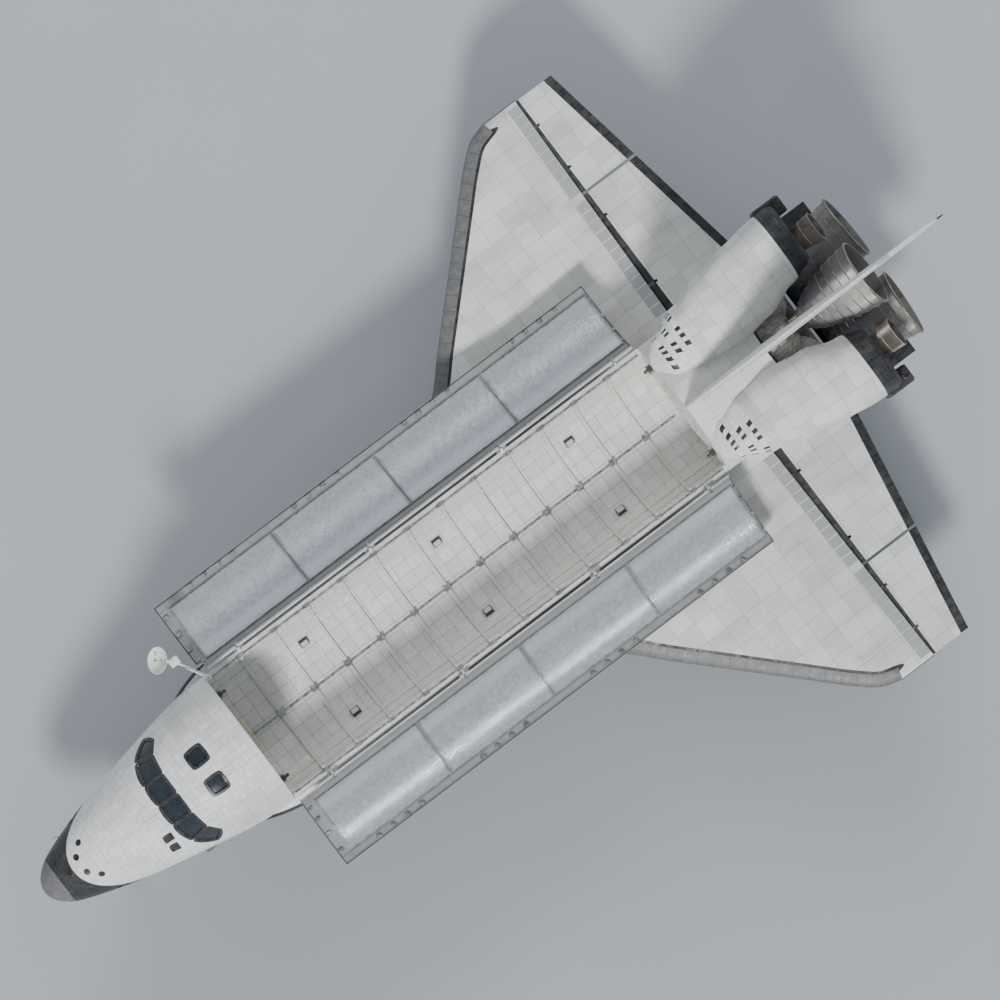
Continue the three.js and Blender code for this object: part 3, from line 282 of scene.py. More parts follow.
WHITE_TILE = 8 * INCH
BLACK_TILE = 6 * INCH
BLANKET = 30 * INCH
POD_BLANKET = 24 * INCH
QUILT = 2.0 * INCH
SEAM = 0.10 * INCH
TILE_RELIEF = 0.0035


def white_tiles(f, u, v):
    """Coated white tiles, streaked along the air's way."""
    seams = lattice(u, v, WHITE_TILE, 2.5 * SEAM)
    shade = f.chance(u.cell(WHITE_TILE), v.cell(WHITE_TILE))
    grime = f.noise(1.3, 6, 0.62, (0.35, 1, 1))
    streak = f.noise(9.0, 3, 0.5, (0.06, 1, 1))
    clean = mix(shade.ramp(0.0, 1.0), (0.74, 0.74, 0.72), (0.86, 0.86, 0.85))
    worn = mix(grime.ramp(0.44, 0.78, 0, 0.55), clean, (0.50, 0.49, 0.46))
    worn = mix(streak.ramp(0.55, 0.8, 0, 0.3), worn, (0.46, 0.45, 0.43))
    colour = mix(seams * 0.7, worn, 0.26)
    return colour, grime.ramp(0.3, 0.8, 0.52, 0.74), shade * 0.25 - seams


def blankets(f, u, v, pitch=BLANKET):
    """Quilted white blankets sewn in rows, in large panels."""
    joints = lattice(u, v, pitch, 4 * SEAM)
    stitch = lattice(u, v, QUILT, 3 * SEAM)
    shade = f.chance(u.cell(pitch), v.cell(pitch))
    grime = f.noise(0.9, 6, 0.6, (0.4, 1, 1))
    fine = f.noise(60, 2, 0.5)
    clean = mix(shade.ramp(0.0, 1.0), (0.70, 0.70, 0.67), (0.84, 0.84, 0.82))
    worn = mix(grime.ramp(0.42, 0.75, 0, 0.6), clean, (0.47, 0.46, 0.43))
    worn = mix(stitch * 0.22, worn, (0.36, 0.36, 0.35))
    colour = mix(joints * 0.65, worn, 0.24)
    return colour, grime.ramp(0.3, 0.8, 0.72, 0.9), fine * 0.2 - stitch * 0.8 - joints * 1.6


def black_tiles(f, u, v):
    """Glazed black tiles, a few of them newer than the rest."""
    seams = lattice(u, v, BLACK_TILE, 2 * SEAM)
    shade = f.chance(u.cell(BLACK_TILE), v.cell(BLACK_TILE), 3.0)
    grime = f.noise(2.2, 5, 0.6, (0.25, 1, 1))
    old = mix(shade.ramp(0.25, 1.0), (0.018, 0.019, 0.021), (0.036, 0.037, 0.039))
    new = mix(shade.ramp(0.955, 0.965), old, (0.009, 0.009, 0.010))
    worn = mix(grime.ramp(0.5, 0.8, 0, 0.35), new, (0.16, 0.15, 0.14))
    colour = mix(seams * 0.6, worn, 0.10)
    return colour, shade.ramp(0, 1, 0.34, 0.55), shade * 0.2 - seams


def blend(mask, first, second):
    """The first skin where the mask is 0, and the second where it is 1."""
    pair = [one * (1 - mask) + other * mask for one, other in zip(first[1:], second[1:])]
    return (mix(mask, first[0], second[0]), *pair)


def patchwork(f, mask, first, second):
    """The finished material of two such skins."""
    return f.done(*blend(mask, first, second), TILE_RELIEF)


@material
def body_skin(f):
    """Forward body: black below a line that falls from the nose, white tiles, then blankets."""
    _, _, up = f.normal()
    wrap = f.around(370, 90)
    share = ((f.x - station_at(264)) / (330 * INCH)).larger(0.0).smaller(1.0)
    line = height_at(300) + ((1 - share) ** 2.1) * (103 * INCH)
    low = (line - f.z).ramp(0.0, 0.02)
    under = up.ramp(-0.45, -0.35, 1, 0)
    below_shoulder = f.z.ramp(height_at(480), height_at(481), 1, 0)
    aft = f.x.ramp(station_at(500), station_at(501)) * below_shoulder
    upper = blend(aft, white_tiles(f, f.x, wrap), blankets(f, f.x, wrap))
    return patchwork(f, low.larger(under), upper, black_tiles(f, f.x, wrap))


@material
def side_skin(f):
    """Middle and aft body: blankets on the sides and top, black tiles below."""
    _, _, up = f.normal()
    low = f.z.ramp(height_at(298), height_at(299), 1, 0)
    under = up.ramp(-0.45, -0.35, 1, 0)
    upper = blankets(f, f.x, f.around(380, 105))
    return patchwork(f, low.larger(under), upper, black_tiles(f, f.x, f.y + f.z))


@material
def base_skin(f):
    """The sloping rear wall of the body: black tiles set square to it."""
    return f.done(*black_tiles(f, f.y, f.z), TILE_RELIEF)


@material
def wing_skin(f):
    """Blankets above, black tiles below, on the tip and in a band behind the leading edge."""
    _, _, up = f.normal()
    out = f.y.abs()
    near = f.wire.node("Attribute", {"attribute_name": "behind_edge"}, output="Fac")
    wide = out.ramp(174 * INCH, 214 * INCH, 4.5 * INCH, 21 * INCH)
    reach = wide * out.ramp(452 * INCH, 462 * INCH, 1, 0)
    band = (near - reach).ramp(-0.004, 0.004, 1, 0)
    tip = out.ramp(467 * INCH, 467.2 * INCH)
    under = up.ramp(-0.1, 0.0, 1, 0)
    steep = up.abs().ramp(0.70, 0.72, 1, 0)
    across_skin = f.y * (1 - steep) + f.z * steep
    dark = band.larger(under).larger(tip)
    return patchwork(f, dark, blankets(f, f.x, f.y), black_tiles(f, f.x, across_skin))


@material
def flap_skin(f):
    """Elevons: white above with a dark nose and trailing edge, and black below."""
    _, _, up = f.normal()
    trailing_edge = station_at(1525.3) - f.y.abs() * 0.1773
    trail = (f.x - trailing_edge).ramp(-0.32, -0.31)
    nose = f.x.ramp(station_at(1387), station_at(1387.6), 1, 0)
    under = up.ramp(0.0, 0.1, 1, 0)
    dark = trail.larger(under).larger(nose)
    return patchwork(f, dark, blankets(f, f.x, f.y), black_tiles(f, f.x, f.y))


@material
def black_skin(f):
    """Black tiles all over, for the body flap, the gear doors and the doors in the belly."""
    return f.done(*black_tiles(f, f.x, f.y + f.z), TILE_RELIEF)


@material
def fin_skin(f):
    """Fin and rudder: white tiles in front, then blankets, and a black trailing edge."""
    above_foot = f.z - height_at(503)
    trail = f.x - above_foot * math.tan(26.25 * DEG) - station_at(1548.5)
    back = trail.ramp(-0.26, -0.25)
    lead = f.x - f.z - (station_at(1280) - height_at(503))
    front = lead.ramp(0.50, 0.51, 1, 0)
    upper = blend(front, blankets(f, f.x, f.z), white_tiles(f, f.x, f.z))
    return patchwork(f, back, upper, black_tiles(f, f.x, f.z))


@material
def pod_skin(f):
    """The pods: blankets, with lone black tiles at the front and a black stern."""
    ahead, _, _ = f.normal()
    tip = ahead.ramp(-0.72, -0.70, 1, 0)
    along = f.x * (1 - tip) + f.z * tip
    wrap = f.around(478, 58, 88) * (1 - tip) + f.y * tip
    back = f.x.ramp(station_at(1529), station_at(1530))
    front = f.x.ramp(station_at(1362), station_at(1363), 1, 0)
    row = f.x.cell(WHITE_TILE)
    ring = wrap.cell(WHITE_TILE)
    # Only every other row has black tiles, and they are staggered, so that no two of them meet.
    free = (1 - row.odd()) * (1 - (ring + row * 0.5).odd())
    chosen = f.chance(row, ring, 7.0).ramp(0.35, 0.36)
    spots = free * chosen * f.x.ramp(station_at(1320), station_at(1321))
    upper = blend(front, blankets(f, f.x, wrap, POD_BLANKET), white_tiles(f, along, wrap))
    return patchwork(f, back.larger(front * spots), upper, black_tiles(f, along, wrap))


@material
def door_outside(f):
    """The payload bay doors' outer skin of white blankets."""
    return f.done(*blankets(f, f.x, f.around(439, 105, 209)), TILE_RELIEF)


@material
def vent_tiles(f):
    """The vent doors' white tiles."""
    return f.done(*white_tiles(f, f.x, f.z), 0.003)


# Plain materials


def clouded(f, noise, spread, dark, light, rough, depth):
    """Closes a material whose colour, roughness and relief all follow one cloudy noise."""
    cloud = f.noise(*noise)
    share = cloud.ramp(*spread) if spread else cloud
    return f.done(mix(share, dark, light), cloud.ramp(*rough), cloud, depth)


@material
def carbon(f):
    """Reinforced carbon: dull grey, mottled, a little paler where air and heat have worn it."""
    cloud = f.noise(5, 6, 0.6)
    grain = f.noise(90, 3, 0.6)
    colour = mix(cloud.ramp(0.3, 0.75), (0.125, 0.125, 0.128), (0.185, 0.182, 0.176))
    colour = mix(grain.ramp(0.45, 0.7, 0, 0.3), colour, 0.06)
    return f.done(colour, cloud.ramp(0.3, 0.7, 0.42, 0.6), grain, 0.0008)


@material
def edge_seal(f):
    """The narrow seals between the edge's panels, darker than the panels."""
    dark, light = 0.05, (0.10, 0.10, 0.098)
    return clouded(f, (30, 4, 0.6), None, dark, light, (0, 1, 0.45, 0.65), 0.0006)


@material
def pane(f):
    """Dark window glass with a faint bloom of dust."""
    dust = f.noise(5, 4, 0.5)
    colour = mix(dust.ramp(0.3, 0.8), (0.014, 0.020, 0.028), (0.024, 0.031, 0.040))
    return f.done(colour, dust.ramp(0.3, 0.8, 0.18, 0.24), IOR=1.45)


@material
def frame_tiles(f):
    """Black tiles without a pattern of their own, for narrow frames."""
    dark, light = (0.014, 0.014, 0.016), (0.055, 0.055, 0.058)
    rough = (0.3, 0.7, 0.32, 0.5)
    return clouded(f, (9, 5, 0.6), (0.3, 0.75), dark, light, rough, 0.0008)


@material
def rubber(f):
    """Tyre rubber, greyed where it has touched the ground."""
    dark, light = 0.018, (0.07, 0.068, 0.065)
    return clouded(f, (18, 6, 0.65), (0.45, 0.75), dark, light, (0.3, 0.7, 0.7, 0.9), 0.0012)


@material
def hose_rubber(f):
    """Black braided hoses."""
    dark, light = (0.02, 0.02, 0.022), (0.08, 0.08, 0.085)
    return clouded(f, (160, 2, 0.5), None, dark, light, (0.3, 0.7, 0.45, 0.7), 0.0008)


@material
def well_paint(f):
    """The wheel wells' pale primer, with frames' shadows and streaks of grease."""
    ribs = lattice(f.x, f.z, 14 * INCH, 0.8 * INCH, 11 * INCH)
    grease = f.noise(3.5, 6, 0.65, (0.5, 0.5, 1.6))
    colour = mix(grease.ramp(0.45, 0.75), (0.62, 0.64, 0.60), (0.30, 0.30, 0.27))
    colour = mix(ribs * 0.5, colour, (0.20, 0.20, 0.19))
    return f.done(colour, grease.ramp(0.3, 0.7, 0.5, 0.7), ribs, 0.006)


@material
def liner(f):
    """The bay's pale woven liner: large sewn panels, soft wrinkles and a fine weave."""
    ahead, _, _ = f.normal()
    wall = ahead.abs().ramp(0.8, 0.9)
    u = f.x * (1 - wall) + f.z * wall
    v = f.around(400, 93) * (1 - wall) + f.y * wall
    joints = lattice(u, v, 20 * INCH, 0.5 * INCH, 22 * INCH)
    shade = f.chance(u.cell(20 * INCH), v.cell(22 * INCH))
    folds = f.noise(5.5, 5, 0.6, (1, 0.6, 0.6))
    weave = f.noise(240, 1, 0.5)
    colour = mix(shade, (0.66, 0.66, 0.62), (0.78, 0.775, 0.74))
    colour = mix(folds.ramp(0.35, 0.7, 0, 0.35), colour, (0.50, 0.50, 0.47))
    colour = mix(joints * 0.55, colour, (0.28, 0.28, 0.27))
    return f.done(colour, 0.86, folds * 2.2 + weave * 0.12 - joints, 0.012)


@material
def liner_frame(f):
    """Frames under the same pale cloth, a little greyer than the liner between them."""
    folds = f.noise(8, 5, 0.6)
    colour = mix(folds.ramp(0.3, 0.75), (0.60, 0.60, 0.56), (0.72, 0.715, 0.68))
    return f.done(colour, 0.8, folds, 0.008)


@material
def lamp_glass(f):
    """Pale ribbed glass of the bay's flood lights."""
    ribs = f.x.seam(1.2 * INCH, 0.4 * INCH)
    colour = mix(ribs, (0.62, 0.64, 0.62), (0.42, 0.44, 0.42))
    return f.done(colour, ribs.ramp(0, 1, 0.12, 0.22), ribs, 0.002)


@material
def radiator_film(f):
    """Silvered film on the radiators: rows of small squares that mirror unevenly."""
    out = f.y.abs()
    seams = lattice(f.x, out, 4 * INCH, 0.12 * INCH, 3.4 * INCH)
    tubes = out.seam(1.7 * INCH, 0.5 * INCH)
    which_side = f.y.cell(30.0)
    shade = f.chance(f.x.cell(4 * INCH), out.cell(3.4 * INCH), which_side)
    cloud = f.noise(1.6, 5, 0.6)
    colour = mix(shade, (0.72, 0.755, 0.79), (0.80, 0.83, 0.86))
    colour = mix(cloud.ramp(0.45, 0.75, 0, 0.3), colour, (0.56, 0.58, 0.60))
    colour = mix(seams * 0.5, colour, (0.25, 0.26, 0.28))
    rough = shade.ramp(0, 1, 0.17, 0.25)
    return f.done(colour, rough, tubes * 0.35 - seams, 0.0006, metallic=0.85)


@material
def door_inside(f):
    """The doors' dark inner skin of resin and carbon cloth."""
    cloth = lattice(f.x, f.y, 0.03, 0.006)
    cloud = f.noise(3, 5, 0.6)
    colour = mix(cloud, (0.20, 0.205, 0.20), (0.33, 0.335, 0.33))
    return f.done(colour, cloud.ramp(0.3, 0.7, 0.45, 0.62), cloud - cloth * 0.2, 0.0015)


@material
def heat_blanket(f):
    """Grey quilted blankets round the engines' domes."""
    lumps = f.noise(9, 3, 0.5)
    stain = f.noise(3, 6, 0.65)
    colour = mix(stain.ramp(0.35, 0.75), (0.50, 0.48, 0.44), (0.20, 0.18, 0.16))
    stitch = lattice(f.y, f.z, 6 * INCH, 0.5 * INCH)
    colour = mix(stitch * 0.6, colour, (0.12, 0.11, 0.10))
    return f.done(colour, 0.85, lumps - stitch * 0.7, 0.012)


@material
def cabin_paint(f):
    """Grey painted panels with rows of switches read as fine relief."""
    panel = lattice(f.x, f.y, 5 * INCH, 0.2 * INCH, 7 * INCH)
    dots = f.chance(f.y.cell(1.2 * INCH), f.z.cell(1.2 * INCH), f.x.cell(1.2 * INCH))
    colour = mix(dots.ramp(0.8, 0.85), (0.23, 0.25, 0.27), (0.52, 0.53, 0.52))
    colour = mix(panel, colour, (0.07, 0.07, 0.08))
    return f.done(colour, 0.6, dots - panel, 0.003)


@material
def floor_paint(f):
    """A plain pale floor with the faintest unevenness."""
    cloud = f.noise(0.05, 3, 0.5)
    colour = mix(cloud.ramp(0.3, 0.7), (0.50, 0.53, 0.56), (0.53, 0.56, 0.59))
    return f.done(colour, 0.9)


# Metals and paints

# Columns: name, darker colour, lighter colour.
METALS = {
    "hinge_steel": (0.20, (0.48, 0.48, 0.47)),
    "bracket_metal": (0.16, (0.42, 0.42, 0.40)),
    "arm_metal": (0.2, (0.45, 0.45, 0.43)),
    "band_metal": ((0.18, 0.17, 0.16), (0.46, 0.44, 0.41)),
    "latch_metal": (0.22, (0.55, 0.55, 0.53)),
    "shaft_metal": (0.18, (0.44, 0.44, 0.43)),
    "fitting_metal": (0.24, (0.58, 0.58, 0.56)),
    "port_metal": ((0.03, 0.028, 0.026), (0.13, 0.12, 0.11)),
    "probe_metal": (0.25, (0.6, 0.6, 0.58)),
    "piston_chrome": (0.45, (0.80, 0.80, 0.79)),
    "wheel_alloy": (0.34, (0.66, 0.66, 0.64)),
    "brake_metal": (0.10, (0.26, 0.25, 0.24)),
    "foil": ((0.42, 0.26, 0.09), (0.80, 0.58, 0.26)),
}
# Columns: name, colour, colour of the chips.
PAINTS = {
    "bay_alloy": ((0.66, 0.68, 0.62), (0.30, 0.30, 0.28)),
    "rail_paint": ((0.62, 0.50, 0.16), (0.25, 0.22, 0.15)),
    "camera_paint": ((0.05, 0.05, 0.055), 0.20),
    "leg_paint": ((0.74, 0.74, 0.72), (0.34, 0.33, 0.31)),
    "antenna_paint": ((0.80, 0.80, 0.78), (0.45, 0.44, 0.42)),
    "plate_paint": ((0.40, 0.41, 0.41), (0.24, 0.24, 0.23)),
}


@cache
def metal(name, rough=(0.28, 0.46), lumps=7.0):
    """Plain metal with a drawn grain and darker smears."""
    f = Finish(name)
    dark, light = METALS[name]
    cloud = f.noise(lumps, 5, 0.6)
    lines = f.noise(40, 2, 0.5, (1, 1, 14))
    colour = mix(cloud.ramp(0.3, 0.75), dark, light)
    colour = mix(lines.ramp(0.5, 0.8, 0, 0.25), colour, dark)
    return f.done(colour, cloud.ramp(0.3, 0.7, *rough), lines, 0.0006, metallic=0.9)


@cache
def painted(name, rough=(0.32, 0.5)):
    """Gloss paint with worn, darker flecks."""
    f = Finish(name)
    colour, chip = PAINTS[name]
    cloud = f.noise(6, 5, 0.6)
    chips = f.noise(34, 6, 0.7).ramp(0.66, 0.70)
    soft = mix(cloud.ramp(0.35, 0.8, 0, 0.35), colour, tuple(c * 0.72 for c in colour))
    return f.done(mix(chips, soft, chip), cloud.ramp(0.3, 0.7, *rough), cloud - chips, 0.0006)


BELL_TUBES = 180
# Columns: share of the bell's length from the throat, colour.
HEAT_COLOURS = (
    (0.0, (0.10, 0.085, 0.07)),
    (0.35, (0.30, 0.25, 0.20)),
    (0.55, (0.33, 0.33, 0.36)),
    (0.8, (0.42, 0.40, 0.37)),
    (1.0, (0.30, 0.28, 0.25)),
)


def bell_metal(name, centre, tilt, turn):
    """A bell of many cooling tubes, blued and browned by heat towards its throat."""
    f = Finish(name)
    inputs = {"Vector": f.point, "Location": tuple(centre), "Rotation": (0, -tilt * DEG, turn * DEG)}
    turned = f.wire.node("Mapping", {"vector_type": "TEXTURE"}, inputs)
    along, side, up = f.split(turned)
    tubes = (side.math("ARCTAN2", up) * BELL_TUBES).math("SINE")
    cloud = f.noise(4, 5, 0.6)
    soot = f.noise(2.2, 4, 0.6, (0.3, 1, 1))
    share = (along + cloud * 0.7) / 5.0
    heat = share.node("ValToRGB", {"stops": HEAT_COLOURS}, {0: share})
    colour = mix(soot.ramp(0.5, 0.78, 0, 0.65), heat, (0.06, 0.055, 0.05))
    colour = mix(tubes.ramp(-1, -0.2, 0.35, 0), colour, (0.05, 0.045, 0.04))
    return f.done(colour, cloud.ramp(0.3, 0.7, 0.30, 0.48), tubes, 0.004, metallic=0.88)


# Shapes, in inches: points, and groups of faces that have the same number of sides


def outward(points, groups):
    """Turns the faces round if the closed shape's signed volume comes out below nothing."""
    volume = 0.0
    for group in groups:
        corners = points[group]
        fans = np.cross(corners[:, 1:-1], corners[:, 2:])
        volume += np.sum(corners[:, :1] * fans)
    if volume < 0:
        groups = [group[:, ::-1] for group in groups]
    return points, groups


def grid(points, around=True, loop=False):
    """A closed skin over rows of points.

    Each row is joined to the next by four-sided faces. Around joins each row's ends. Loop joins the
    last row to the first; without it, both are closed by one face of many sides.
    """
    points = np.asarray(points, float)
    rows, columns = points.shape[:2]
    index = np.arange(rows * columns).reshape(rows, columns)
    ends = [index[:1], index[-1:, ::-1]]
    if around:
        index = np.hstack([index, index[:, :1]])
    if loop:
        index = np.vstack([index, index[:1]])
    quads = np.stack([index[:-1, :-1], index[1:, :-1], index[1:, 1:], index[:-1, 1:]], -1)
    groups = [quads.reshape(-1, 4)]
    if not loop:
        groups += ends
    return outward(points.reshape(-1, 3), groups)


def join(*shapes):
    """Several shapes as one."""
    points = np.concatenate([shape[0] for shape in shapes])
    groups, first = [], 0
    for shape in shapes:
        groups += [group + first for group in shape[1]]
        first += len(shape[0])
    return points, groups


def mirrored(shape):
    """The shape on the other side of the centre line, its faces turned to point out again."""
    return shape[0] * (1, -1, 1), [group[:, ::-1] for group in shape[1]]


def sided(shape, side):
    """The shape as drawn to starboard, or its mirror image to port."""
    return shape if side > 0 else mirrored(shape)


def both(*shapes):
    """Each shape and its mirror image, as one shape."""
    return join(*[each for shape in shapes for each in (shape, mirrored(shape))])


def spin(count):
    """The cosine and sine of evenly spaced angles round a circle."""
    angle = np.linspace(0, 2 * math.pi, count, endpoint=False)
    return np.cos(angle), np.sin(angle)


def turned_about(points, centre, axis, angle):
    """Points turned by an angle about a line: along, across, and the part square to both."""
    axis = np.asarray(axis, float) / np.linalg.norm(axis)
    arm = points - centre
    along = (arm @ axis)[..., None] * axis
    square = np.cross(axis, arm)
    return centre + along + (arm - along) * math.cos(angle) + square * math.sin(angle)


def across(direction):
    """Two unit vectors square to a direction and to each other."""
    direction = np.asarray(direction, float) / np.linalg.norm(direction)
    helper = np.array([0, 0, 1.0]) if abs(direction[2]) < 0.9 else np.array([1.0, 0, 0])
    first = np.cross(helper, direction)
    first /= np.linalg.norm(first)
    return direction, first, np.cross(direction, first)


def revolve(profile, start, direction, sides=48, loop=False):
    """A profile of distance along and radius, carried round a line that starts at a point."""
    direction, first, second = across(direction)
    profile = np.asarray(profile, float)
    c, s = spin(sides)
    spoke = c[:, None] * first + s[:, None] * second
    rings = profile[:, :1, None] * direction + profile[:, 1:, None] * spoke[None]
    return grid(np.asarray(start, float) + rings, loop=loop)


def rod(a, b, radius, sides=20, end_radius=None):
    """A round bar between two points, its ends slightly chamfered."""
    a, b = np.asarray(a, float), np.asarray(b, float)
    length = np.linalg.norm(b - a)
    last = radius if end_radius is None else end_radius
    edge = min(radius, last) * 0.12
    profile = [(0, radius - edge), (edge, radius), (length - edge, last), (length, last - edge)]
    return revolve(profile, a, b - a, sides)


def hoop(centre, direction, radius, thick, sides=64, section=10):
    """A ring of round section: a small circle carried round a large one."""
    c, s = spin(section)
    profile = np.stack([thick * c, radius + thick * s], 1)
    return revolve(profile, centre, direction, sides, loop=True)


def tube(path, radius, sides=10):
    """A round tube along a path: a circle square to the path's direction at each point."""
    path = np.asarray(path, float)
    heading = np.gradient(path, axis=0)
    heading /= np.linalg.norm(heading, axis=1)[:, None]
    helper = np.array([0.31, 0.17, 0.93])
    first = np.cross(heading, helper)
    first /= np.linalg.norm(first, axis=1)[:, None]
    second = np.cross(heading, first)
    c, s = spin(sides)
    ring = c[None, :, None] * first[:, None] + s[None, :, None] * second[:, None]
    return grid(path[:, None] + radius * ring)


def curve(points, count):
    """A smooth path through a few points, with a cubic between each pair of them."""
    points = np.asarray(points, float)
    slopes = np.gradient(points, axis=0)
    t = np.linspace(0, len(points) - 1, count)
    k = np.minimum(t.astype(int), len(points) - 2)
    u = (t - k)[:, None]
    start, end = points[k], points[k + 1]
    first, last = slopes[k], slopes[k + 1]
    rise = (3 * u**2 - 2 * u**3) * (end - start)
    return start + rise + (u**3 - 2 * u**2 + u) * first + (u**3 - u**2) * last


def brick(low, high, chamfer=None):
    """A block with chamfered edges: eight-sided rings, drawn in at the bottom and the top."""
    low, high = np.asarray(low, float), np.asarray(high, float)
    low, high = np.minimum(low, high), np.maximum(low, high)
    c = 0.12 * np.min(high - low) if chamfer is None else chamfer
    rings = []
    for z, inset in ((low[2], c), (low[2] + c, 0), (high[2] - c, 0), (high[2], c)):
        (x0, y0), (x1, y1) = low[:2] + inset, high[:2] - inset
        rings.append([
            (x0 + c, y0, z), (x1 - c, y0, z), (x1, y0 + c, z), (x1, y1 - c, z),
            (x1 - c, y1, z), (x0 + c, y1, z), (x0, y1 - c, z), (x0, y0 + c, z),
        ])
    return grid(np.array(rings))


def prism(outline, start, end):
    """An outline of points carried straight from one offset to another."""
    outline = np.asarray(outline, float)
    return grid(np.stack([outline + np.asarray(start, float), outline + np.asarray(end, float)]))


# Making and cutting pieces


def mesh_object(name, shape):
    """A Blender object whose mesh holds the shape, in metres."""
    points, groups = place(shape[0]), shape[1]
    mesh = bpy.data.meshes.new(name)
    sizes = np.concatenate([np.full(len(group), group.shape[1]) for group in groups])
    mesh.vertices.add(len(points))
    mesh.vertices.foreach_set("co", np.ascontiguousarray(points, np.float32).ravel())
    mesh.loops.add(int(sizes.sum()))
    corners = np.concatenate([group.ravel() for group in groups]).astype(np.int32)
    mesh.loops.foreach_set("vertex_index", corners)
    mesh.polygons.add(len(sizes))
    starts = np.concatenate([[0], np.cumsum(sizes)[:-1]]).astype(np.int32)
    mesh.polygons.foreach_set("loop_start", starts)
    mesh.update(calc_edges=True)
    mesh.validate()
    made = bpy.data.objects.new(name, mesh)
    bpy.context.scene.collection.objects.link(made)
    return made


def carve(target, tools):
    """An object of the target shape with tool shapes taken away from it."""
    body = mesh_object("carved", target)
    for tool in tools:
        cutter = mesh_object("cutter", tool)
        change = body.modifiers.new("cut", "BOOLEAN")
        change.operation = "DIFFERENCE"
        change.solver = "EXACT"
        change.object = cutter
        bpy.context.view_layer.update()
        evaluated = body.evaluated_get(bpy.context.evaluated_depsgraph_get())
        result = bpy.data.meshes.new_from_object(evaluated)
        body.modifiers.clear()
        old = body.data
        body.data = result
        bpy.data.meshes.remove(old)
        bpy.data.objects.remove(cutter)
    return body


def piece(name, what, finish, body="airframe", smooth=32, replaces=()):
    """Finishes a shape or a carved object as a named piece that rides on a body."""
    made = mesh_object(name, what) if isinstance(what, tuple) else what
    made.name = made.data.name = name
    finishes = finish if isinstance(finish, list) else [finish]
    made.data.materials.clear()
    for each in finishes:
        made.data.materials.append(each)
    made.data.polygons.foreach_set("use_smooth", np.ones(len(made.data.polygons), bool))
    made.data.set_sharp_from_angle(angle=smooth * DEG)
    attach(made, body)
    if replaces:
        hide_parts(*replaces)
    return made


def pair(name, shape, finish, slot, body="airframe", smooth=32, replaces=None):
    """A piece to starboard and its mirror image to port.

    The side is added to the name, to a replaced node, and to a body that ends in an underscore.
    """
    for side_name, side in SIDES:
        ridden = body + side_name if body.endswith("_") else body
        replaced = [replaces + side_name] if replaces else ()
        piece(name + side_name, sided(shape, side), finish, ridden, smooth, replaced)


def dress(node, finish):
    """Gives a CAD node its finish."""
    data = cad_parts[node].data
    data.materials.clear()
    data.materials.append(finish)


def read_all(items, key, columns=3):
    """A property of all of a mesh's items, as an array of rows."""
    values = np.zeros(len(items) * columns, np.float32)
    items.foreach_get(key, values)
    return values.reshape(-1, columns)


def mark_faces(made, number, chosen):
    """Gives the faces that a test picks by place (in inches) and normal another of the finishes."""
    faces = made.data.polygons
    centre = in_inches(read_all(faces, "center"))
    picked = chosen(*centre.T, *read_all(faces, "normal").T)
    old = np.zeros(len(faces), np.int32)
    faces.foreach_get("material_index", old)
    faces.foreach_set("material_index", np.where(picked, number, old).astype(np.int32))


# The body's skin

# Columns: station, half width, bottom, top, shoulder waterline, upper power, lower power.
BODY_SECTIONS = np.array([
    [237.9, 0.2, 340.8, 341.2, 341, 2, 2],
    [239.5, 9, 332, 350, 341, 2, 2],
    [244, 17.5, 324, 358.5, 341, 2, 2],
    [252, 26, 316, 367, 341, 2, 2.1],
    [264, 34.5, 308, 376, 341, 2, 2.2],
    [285, 43.5, 299.5, 388, 341, 2, 2.4],
    [310, 52, 292, 400, 342, 2, 2.7],
    [346, 62.5, 284.5, 415, 344, 2, 3],
    [382, 71.5, 279.5, 428, 348, 2, 3.4],
    [412, 78, 276.5, 438, 354, 2.05, 3.8],
    [430, 82, 275, 452, 360, 2.1, 4.2],
    [450, 86, 274, 471, 368, 2.2, 4.8],
    [468, 89.5, 273, 486, 376, 2.3, 5.4],
    [486, 93, 272.4, 494.5, 384, 2.25, 6.5],
    [520, 98.6, 272, 499.5, 391, 2.1, 9],
    [548, 101.2, 272, 500, 395, 2, 14],
    [576, 102, 272, 500, 395, 2, 20],
    [600, 102, 272, 500, 395, 2, 20],
])
NOSE_TIP = 237.9
CAP_END = 264
CABIN_FRONT = 396
CABIN_BACK = 576
CABIN_FLOOR = 322
CABIN_WALL = 4
BULKHEAD_BACK = 580
CABIN_HEART = np.array([500, 0, 430.0])
NOSE_HEART = np.array([345, 0, 345.0])


def smooth_table(x, table):
    """Every column of a table at x, by cubics whose slopes never overshoot the rows."""
    xs = table[:, 0]
    step = np.diff(xs)[:, None]
    rise = np.diff(table, axis=0) / step
    slopes = np.zeros_like(table)
    same = rise[:-1] * rise[1:] > 0
    with np.errstate(divide="ignore", invalid="ignore"):
        mean = 2 * rise[:-1] * rise[1:] / (rise[:-1] + rise[1:])
    slopes[1:-1] = np.where(same, mean, 0)
    slopes[0], slopes[-1] = rise[0], rise[-1]
    x = np.clip(np.asarray(x, float), xs[0], xs[-1])
    k = np.clip(np.searchsorted(xs, x) - 1, 0, len(xs) - 2)
    h = step[k]
    u = ((x - xs[k]) / h[..., 0])[..., None]
    start, end = table[k], table[k + 1]
    value = start + (3 * u**2 - 2 * u**3) * (end - start)
    return value + h * ((u**3 - 2 * u**2 + u) * slopes[k] + (u**3 - u**2) * slopes[k + 1])


